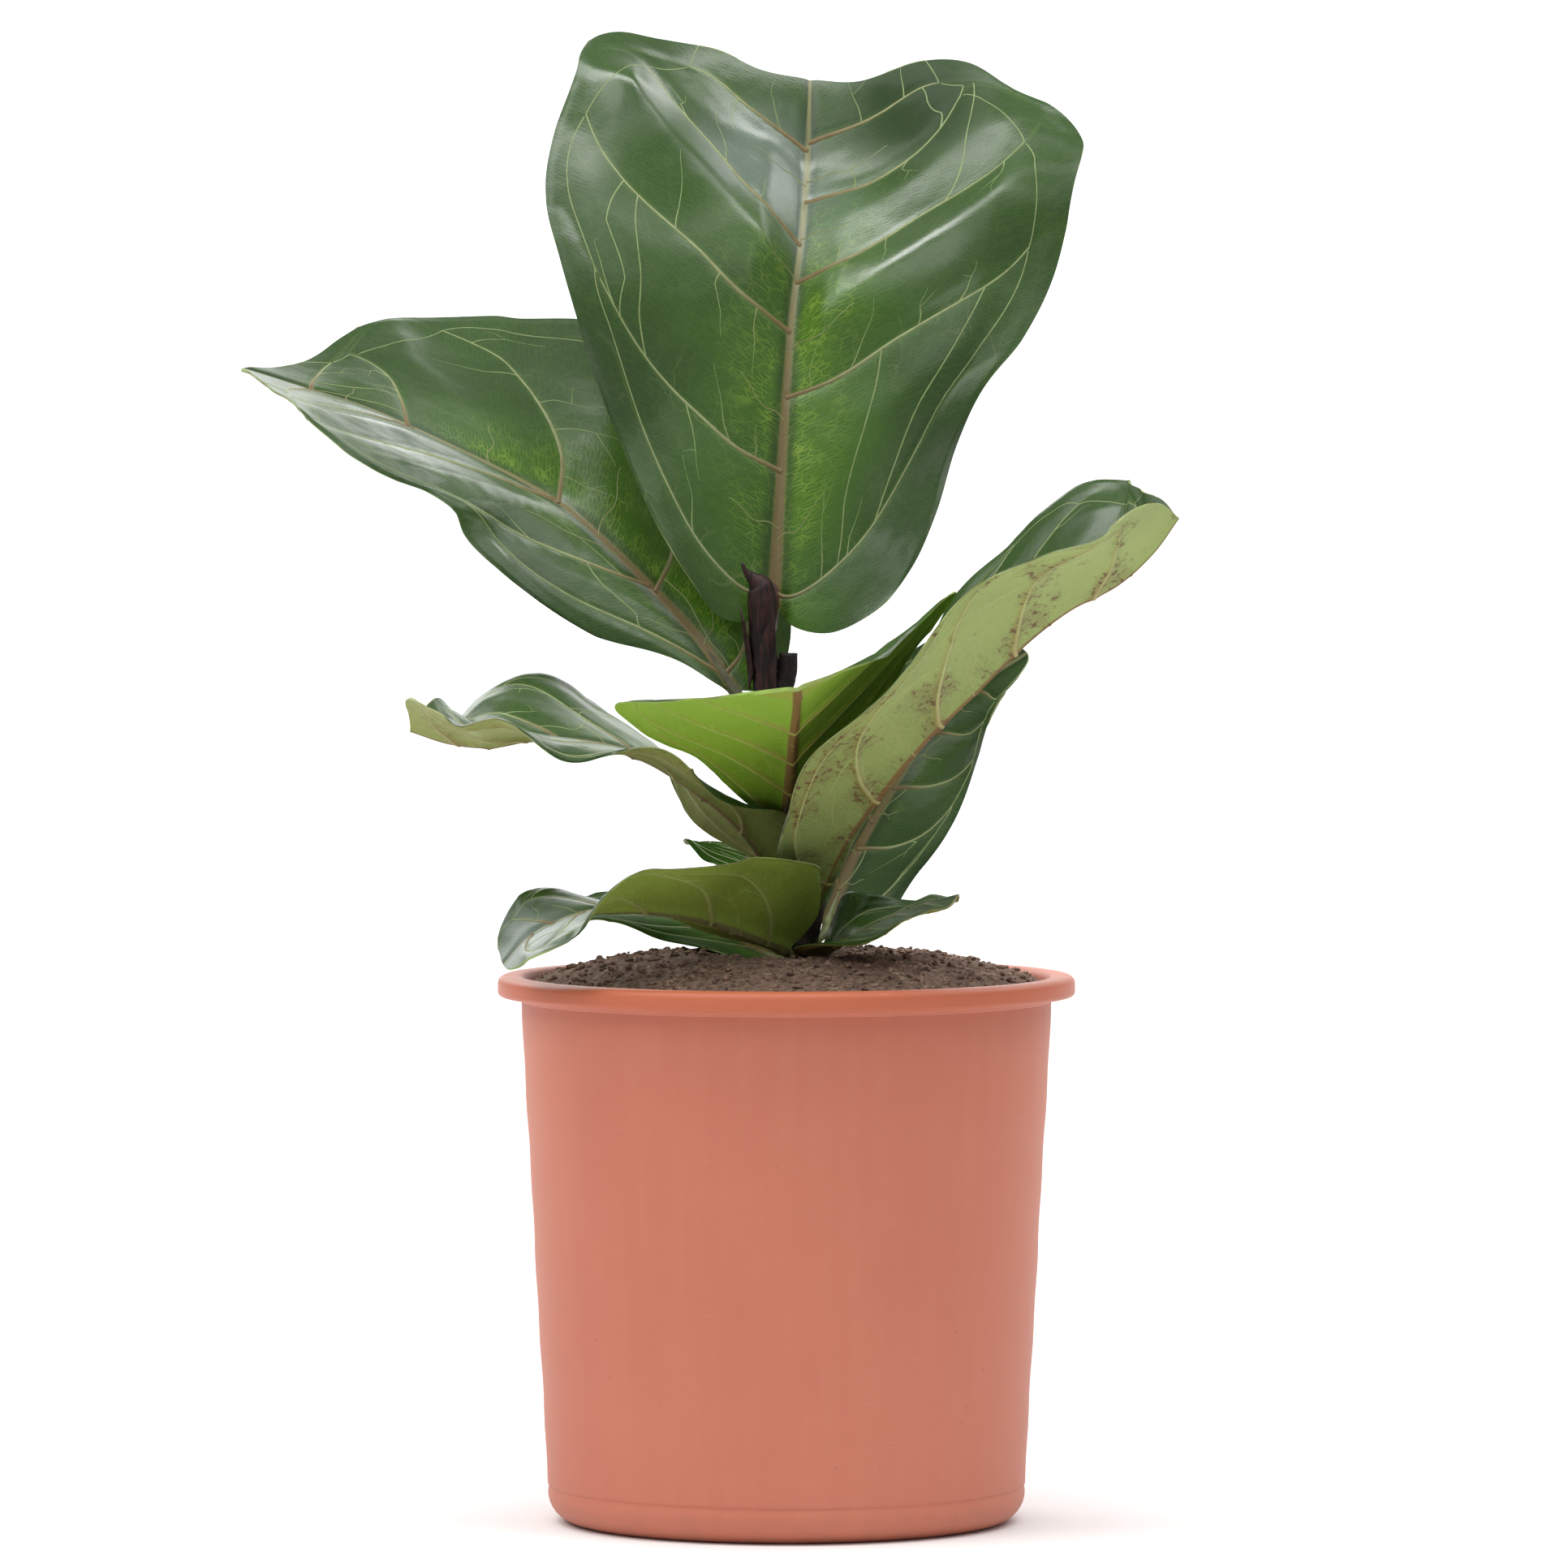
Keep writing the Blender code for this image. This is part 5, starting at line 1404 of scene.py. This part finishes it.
def crumb_mesh(soil):
    """Loose crumbs and bits of bark, half sunk in the soil's surface."""
    chance = np.random.default_rng(RANDOM_SEED)
    crumbs = []
    for _ in range(soil.crumbs):
        work = bmesh.new()
        radius = (soil.radius - 0.003) * np.sqrt(chance.uniform(0.004, 1))
        angle = chance.uniform(0, 2 * pi)
        x = radius * np.cos(angle)
        y = radius * np.sin(angle)
        size = SMALLEST_CRUMB + CRUMB_SPREAD * chance.random() ** 3
        longer = 1 + 1.6 * chance.random() ** 4
        made = bmesh.ops.create_icosphere(work, subdivisions=1, radius=1)["verts"]
        for vertex in made:
            vertex.co *= 1 + 0.35 * noise.noise(vertex.co * 1.7 + Vector((x, y, angle)) * 900)
        turn = Matrix.Rotation(chance.uniform(0, 2 * pi), 3, "Z")
        tip = Matrix.Rotation(chance.uniform(-0.7, 0.7), 3, "X")
        bmesh.ops.scale(work, verts=made, vec=(size * longer, size, size * 0.8))
        bmesh.ops.rotate(work, verts=made, matrix=turn @ tip)
        bmesh.ops.translate(work, verts=made, vec=(x, y, soil_surface(soil, x, y) + size * 0.25))
        crumbs.append(mesh_from(work, "crumb"))
    return joined("soil_crumbs", crumbs)


# Other materials

def pot_material(pot):
    made, wire = new_material("pot_plastic")
    place = wire.object_place()
    height = place.parts()[2]
    cloud = place.noise(9, 4)
    drawn = place.stretched((1, 1, 0.06)).noise(160, 3)
    tone = wire.blend(cloud.step(0.3, 0.7), pot.colour, pot.cloud_colour)
    tone = wire.blend(drawn.step(0.35, 0.75) * 0.05, tone, POT_STREAK)
    specks = 1 - place.cells(130, "F1").step(0.05, 0.09)
    tone = wire.blend(specks * place.noise(30, 1).step(0.52, 0.62) * 0.35, tone, POT_SPECK)
    rim_bottom = pot.height - pot.rim_height
    rim = height.step(rim_bottom - 0.0006, rim_bottom + 0.0006)
    tone = wire.blend(rim * 0.85, tone, pot.rim_colour)
    scuffs = place.stretched((1, 1, 9)).noise(60, 5, 0.65).step(0.66, 0.74)
    tone = wire.blend(scuffs * 0.18, tone, POT_SCUFF)
    foot_dust = (1 - height.step(0.0, 0.016)) * place.noise(120, 4).step(0.4, 0.7)
    tone = wire.blend(foot_dust * 0.25, tone, FOOT_DUST)
    return finished(made, {
        "Base Color": tone,
        "Roughness": 0.46 + 0.10 * drawn - 0.08 * rim + 0.10 * scuffs,
        "Specular IOR Level": 0.38,
        "Normal": wire.bump(place.noise(1500, 2) + 0.8 * drawn, 0.00008, 0.5),
    })


def soil_material(soil, name="soil", lighter=1.0):
    made, wire = new_material(name)
    place = wire.object_place()
    grain = place.noise(520, 5, 0.65)
    patch = place.noise(90, 3)
    tone = wire.blend(grain.step(0.36, 0.62), tinted(soil.colour, 0.45), tinted(soil.colour, lighter))
    tone = wire.blend(patch.step(0.5, 0.68) * grain.step(0.45, 0.7), tone, tinted(soil.colour, 1.9 * lighter))
    fibre = place.stretched((1, 3.5, 2)).noise(420, 3).step(0.66, 0.72)
    tone = wire.blend(fibre * 0.6, tone, SOIL_FIBRE)
    return finished(made, {
        "Base Color": tone,
        "Roughness": 0.93,
        "Specular IOR Level": 0.2,
        "Normal": wire.bump(grain, 0.0006, 1.0),
    })


def bark_material(stem):
    made, wire = new_material("bark")
    place = wire.object_place()
    height = place.parts()[2]
    grain = place.stretched((1, 1, 0.35)).noise(700, 5, 0.6)
    tone = wire.blend(grain.step(0.35, 0.7), stem.bark_colour, tinted(stem.bark_colour, 2.6))
    green = (1 - height.step(0.230, 0.262)) * place.noise(160, 3).step(0.45, 0.65)
    tone = wire.blend(green * 0.5, tone, GREEN_BARK)
    lenticels = 1 - place.stretched((1, 1, 1.8)).cells(420, "F1").step(0.10, 0.2)
    tone = wire.blend(lenticels * place.noise(300, 1).step(0.5, 0.6) * 0.6, tone, LENTICEL)
    return finished(made, {
        "Base Color": tone,
        "Roughness": 0.60 + 0.2 * grain,
        "Specular IOR Level": 0.25,
        "Normal": wire.bump(grain + 0.4 * lenticels, 0.0004, 0.9),
    })


def papery_material(stem):
    made, wire = new_material("bud_scales")
    place = wire.object_place()
    streaks = place.stretched((1, 1, 0.12)).noise(900, 4, 0.6)
    tone = wire.blend(streaks.step(0.38, 0.68), stem.scale_colour, stem.scale_light)
    return finished(made, {
        "Base Color": tone,
        "Roughness": 0.42 + 0.2 * streaks,
        "Specular IOR Level": 0.3,
        "Normal": wire.bump(streaks, 0.0003, 0.8),
    })


def floor_material(stage):
    made, wire = new_material("floor")
    tone = wire.object_place().noise(1.5, 2)
    return finished(made, {
        "Base Color": wire.blend(tone, stage.floor_colour, tinted(stage.floor_colour, 0.985)),
        "Roughness": 0.8,
        "Specular IOR Level": 0.2,
    })


# Settings that a user would change

def length(name, description, default):
    return bpy.props.FloatProperty(
        name=name, description=description, default=default, unit="LENGTH", precision=4
    )


def colour(name, description, default):
    return bpy.props.FloatVectorProperty(
        name=name, description=description, default=default, size=3, min=0, max=1, subtype="COLOR"
    )


class FigPotSettings(bpy.types.PropertyGroup):
    rim_radius: length("Rim radius", "Radius of the rolled rim", POT_TOP.x)
    height: length("Height", "Height of the pot with its rim", POT_TOP.z)
    rim_height: length("Rim height", "Height of the rolled rim", 0.0067)
    neck_radius: length("Neck radius", "Outer radius just under the rim", 0.0874)
    foot_radius: length("Foot radius", "Outer radius above the rounded foot", 0.0786)
    wall: length("Wall", "Thickness of the wall", 0.0018)
    colour: colour("Colour", "Main colour of the plastic", (0.525, 0.162, 0.098))
    cloud_colour: colour("Cloud colour", "Colour of the faint clouds in the plastic", (0.56, 0.182, 0.112))
    rim_colour: colour("Rim colour", "Colour of the rim, which is a little deeper", (0.50, 0.125, 0.058))


class FigSoilSettings(bpy.types.PropertyGroup):
    radius: length("Radius", "Radius of the soil's surface", 0.0853)
    edge_height: length("Edge height", "Height of the soil at the wall", 0.177)
    dome: length("Dome", "How far the soil rises to its middle", 0.0115)
    dimple: length("Dimple", "Depth of the dimple round the stem", 0.0085)
    crumbs: bpy.props.IntProperty(
        name="Crumbs", description="How many loose crumbs lie on top", default=1500, min=0
    )
    colour: colour("Colour", "Main colour of the soil", (0.24, 0.155, 0.118))


class FigStemSettings(bpy.types.PropertyGroup):
    radius: length("Radius", "Radius of the stem", 0.0047)
    bark_colour: colour("Bark colour", "Darkest colour of the bark", (0.008, 0.005, 0.005))
    scale_colour: colour("Scale colour", "Darkest colour of the papery bud scales", (0.012, 0.006, 0.006))
    scale_light: colour("Scale light colour", "Colour of the scales' streaks", (0.050, 0.015, 0.014))


class FigLeafSettings(bpy.types.PropertyGroup):
    grid: length("Grid", "Widest spacing of a blade's points", 0.0012)
    blade: length("Blade", "Thickness of the blade between its veins", 0.00075)
    midrib: length("Midrib", "Height of the midrib under the blade", 0.0016)
    lateral_rib: length("Side rib", "Height of the side veins under the blade", 0.0007)
    deep_green: colour("Deep green", "Darkest green of the upper face", (0.018, 0.049, 0.007))
    mid_green: colour("Mid green", "Common green of the upper face", (0.028, 0.070, 0.011))
    # The colour below is painted in for light shining through the blade beside the midrib's base.
    painted_glow_green: colour("Fresh green", "Green beside the midrib's base", (0.060, 0.158, 0.006))
    rung_green: colour("Rung green", "Yellow-green of the fine rungs by the midrib", (0.24, 0.36, 0.045))
    net_green: colour("Net green", "Green of the net in the blade", (0.13, 0.22, 0.05))
    fine_vein_colour: colour("Fine vein colour", "Colour of the finest raised veins", (0.19, 0.29, 0.095))
    vein_colour: colour("Vein colour", "Pale colour of the outer veins", (0.25, 0.29, 0.13))
    midrib_colour: colour("Midrib colour", "Tan of the midrib and the veins near it", (0.155, 0.108, 0.040))
    spot_colour: colour("Spot colour", "Red-brown of the spots under some leaves", (0.12, 0.045, 0.025))


class FigStageSettings(bpy.types.PropertyGroup):
    floor_colour: colour("Floor colour", "Colour of the floor and the wall behind", (0.83, 0.83, 0.83))
    sky: bpy.props.FloatProperty(
        name="Sky", description="Strength of the light from all round", default=0.38, min=0
    )
    lamps: bpy.props.FloatProperty(
        name="Lamps", description="Strength of the studio lamps", default=1.0, min=0
    )
    lens: bpy.props.FloatProperty(
        name="Lens", description="Focal length of the camera", default=244.6, subtype="DISTANCE_CAMERA"
    )


SETTINGS = {
    "fig_pot": FigPotSettings,
    "fig_soil": FigSoilSettings,
    "fig_stem": FigStemSettings,
    "fig_leaves": FigLeafSettings,
    "fig_stage": FigStageSettings,
}


# One operator for each piece or group of like pieces

class FIG_OT_build_pot(bpy.types.Operator):
    """Build the round nursery pot with its rolled rim and drain holes"""

    bl_idname = "fig.build_pot"
    bl_label = "Build Pot"

    def execute(self, context):
        pot = context.scene.fig_pot
        add_piece("nursery_pot", pot_mesh(pot), [pot_material(pot)], ["pot"], crease=40)
        return {"FINISHED"}


class FIG_OT_build_soil(bpy.types.Operator):
    """Build the domed, crumbly soil and the loose crumbs on it"""

    bl_idname = "fig.build_soil"
    bl_label = "Build Soil"

    def execute(self, context):
        soil = context.scene.fig_soil
        add_piece("potting_soil", soil_mesh(soil), [soil_material(soil)], ["soil"])
        add_piece("soil_crumbs", crumb_mesh(soil), [soil_material(soil, "crumbs", 1.15)], crease=30)
        return {"FINISHED"}


class FIG_OT_build_stem(bpy.types.Operator):
    """Build the woody stem with its leaf scars and the stub of a lost leaf"""

    bl_idname = "fig.build_stem"
    bl_label = "Build Stem"

    def execute(self, context):
        stem = context.scene.fig_stem
        add_piece("woody_stem", stem_mesh(stem.radius), [bark_material(stem)], ["stem"])
        return {"FINISHED"}


class FIG_OT_build_bud(bpy.types.Operator):
    """Build the bud sheath and the papery scales beside it"""

    bl_idname = "fig.build_bud"
    bl_label = "Build Bud Scales"

    def execute(self, context):
        papery = papery_material(context.scene.fig_stem)
        add_piece("bud", sheath_mesh(), [papery], ["bud_sheath"])
        for name, scale in STIPULES.items():
            grid = blade_grid(scale, context.scene.fig_leaves, None)
            mesh = joined(name, [blade_mesh(name, scale, grid, [papery])])
            add_piece(f"papery_{name}", mesh, [papery], [name], crease=50)
        return {"FINISHED"}


class FIG_OT_build_leaves(bpy.types.Operator):
    """Build the ten leaves with their veins, stalks and coloured faces"""

    bl_idname = "fig.build_leaves"
    bl_label = "Build Leaves"

    def execute(self, context):
        settings = context.scene.fig_leaves
        chance = np.random.default_rng(RANDOM_SEED)
        upper_veins = vein_material(
            "vein_upper", settings.midrib_colour, settings.vein_colour, settings.fine_vein_colour
        )
        for name, leaf in LEAVES.items():
            look = LOOKS[name]
            materials = [
                upper_material(look, settings), under_material(look, settings), edge_material(look),
                petiole_material(look),
            ]
            grid = blade_grid(leaf, settings, look)
            mesh = joined(name, [blade_mesh(name, leaf, grid, materials), petiole_mesh(name, leaf)])
            add_piece(f"fine_{name}", mesh, materials, [name], crease=50)
            lines = vein_lines(leaf, chance)
            pale = tinted(look.under, 1.25, 0.05)
            near = [0.5 * (first + second) for first, second in zip(look.rib, pale)]
            under_veins = vein_material(f"vein_{name}", near, pale, pale)
            for face, finish in (("upper", upper_veins), ("under", under_veins)):
                mesh = vein_mesh(name, leaf, grid, lines, face == "under")
                add_piece(f"{face}_veins_{name}", mesh, [finish])
        return {"FINISHED"}


class FIG_OT_build_stage(bpy.types.Operator):
    """Build the pale floor that curves up behind, the soft studio light and the camera"""

    bl_idname = "fig.build_stage"
    bl_label = "Build Stage"

    def execute(self, context):
        stage = context.scene.fig_stage
        self.add_floor(stage)
        self.add_lights(stage)
        camera = bpy.data.cameras.new("camera")
        camera.lens = stage.lens
        camera.sensor_width = SENSOR_WIDTH
        camera.clip_end = 100
        item = link(bpy.data.objects.new("camera", camera))
        item.location = CAMERA_PLACE
        item.rotation_euler = (radians(90 - CAMERA_DOWN), 0, 0)
        context.scene.camera = item
        return {"FINISHED"}

    def add_floor(self, stage):
        """A floor that curves up into a wall, from one line of points pulled sideways."""
        bend = [
            (BEND_START + BEND_RADIUS * np.sin(angle), BEND_RADIUS * (1 - np.cos(angle)))
            for angle in np.linspace(0, pi / 2, 16)
        ]
        profile = [(FLOOR_FRONT, 0.0), *bend, (BEND_START + BEND_RADIUS, WALL_TOP)]
        work = bmesh.new()
        points = [work.verts.new((-FLOOR_SIDE, y, z)) for y, z in profile]
        edges = [work.edges.new(pair) for pair in zip(points, points[1:])]
        made = bmesh.ops.extrude_edge_only(work, edges=edges)
        moved = [item for item in made["geom"] if isinstance(item, bmesh.types.BMVert)]
        bmesh.ops.translate(work, verts=moved, vec=(2 * FLOOR_SIDE, 0, 0))
        bmesh.ops.recalc_face_normals(work, faces=work.faces)
        mesh = mesh_from(work, "floor")
        mesh.materials.append(floor_material(stage))
        mesh.shade_smooth()
        link(bpy.data.objects.new("floor", mesh))

    def add_lights(self, stage):
        """An even sky, and lamps that are aimed at the plant or at the wall."""
        world = bpy.data.worlds.new("studio")
        world.use_nodes = True
        background = world.node_tree.nodes["Background"].inputs
        background["Color"].default_value = (1, 1, 1, 1)
        background["Strength"].default_value = stage.sky
        bpy.context.scene.world = world
        bpy.context.scene.view_settings.view_transform = "Standard"
        for name, place, aim, size, power in LAMPS:
            lamp = bpy.data.lights.new(name, "AREA")
            lamp.shape = "RECTANGLE"
            lamp.size, lamp.size_y = size
            lamp.energy = power * stage.lamps
            item = link(bpy.data.objects.new(name, lamp))
            item.location = place
            toward = Vector(aim) - Vector(place)
            item.rotation_euler = toward.to_track_quat("-Z", "Y").to_euler()


OPERATORS = (
    FIG_OT_build_pot,
    FIG_OT_build_soil,
    FIG_OT_build_stem,
    FIG_OT_build_bud,
    FIG_OT_build_leaves,
    FIG_OT_build_stage,
)


class FIG_PT_parts(bpy.types.Panel):
    """Lists the fig's settings and the steps that build it"""

    bl_idname = "FIG_PT_parts"
    bl_label = "Potted Fig"
    bl_space_type = "VIEW_3D"
    bl_region_type = "UI"
    bl_category = "Potted Fig"

    def draw(self, context):
        for operator in OPERATORS:
            self.layout.operator(operator.bl_idname)
        for name, group in SETTINGS.items():
            box = self.layout.box()
            box.label(text=name.replace("fig_", "").capitalize())
            for setting in group.__annotations__:
                box.prop(getattr(context.scene, name), setting)


CLASSES = (*SETTINGS.values(), *OPERATORS, FIG_PT_parts)


def register():
    for item in CLASSES:
        bpy.utils.register_class(item)
    for name, group in SETTINGS.items():
        setattr(bpy.types.Scene, name, bpy.props.PointerProperty(type=group))


def unregister():
    for name in SETTINGS:
        delattr(bpy.types.Scene, name)
    for item in reversed(CLASSES):
        bpy.utils.unregister_class(item)


def main():
    register()
    bpy.ops.fig.build_stage()
    bpy.ops.fig.build_pot()
    bpy.ops.fig.build_soil()
    bpy.ops.fig.build_stem()
    bpy.ops.fig.build_bud()
    bpy.ops.fig.build_leaves()


if __name__ == "__main__":
    main()
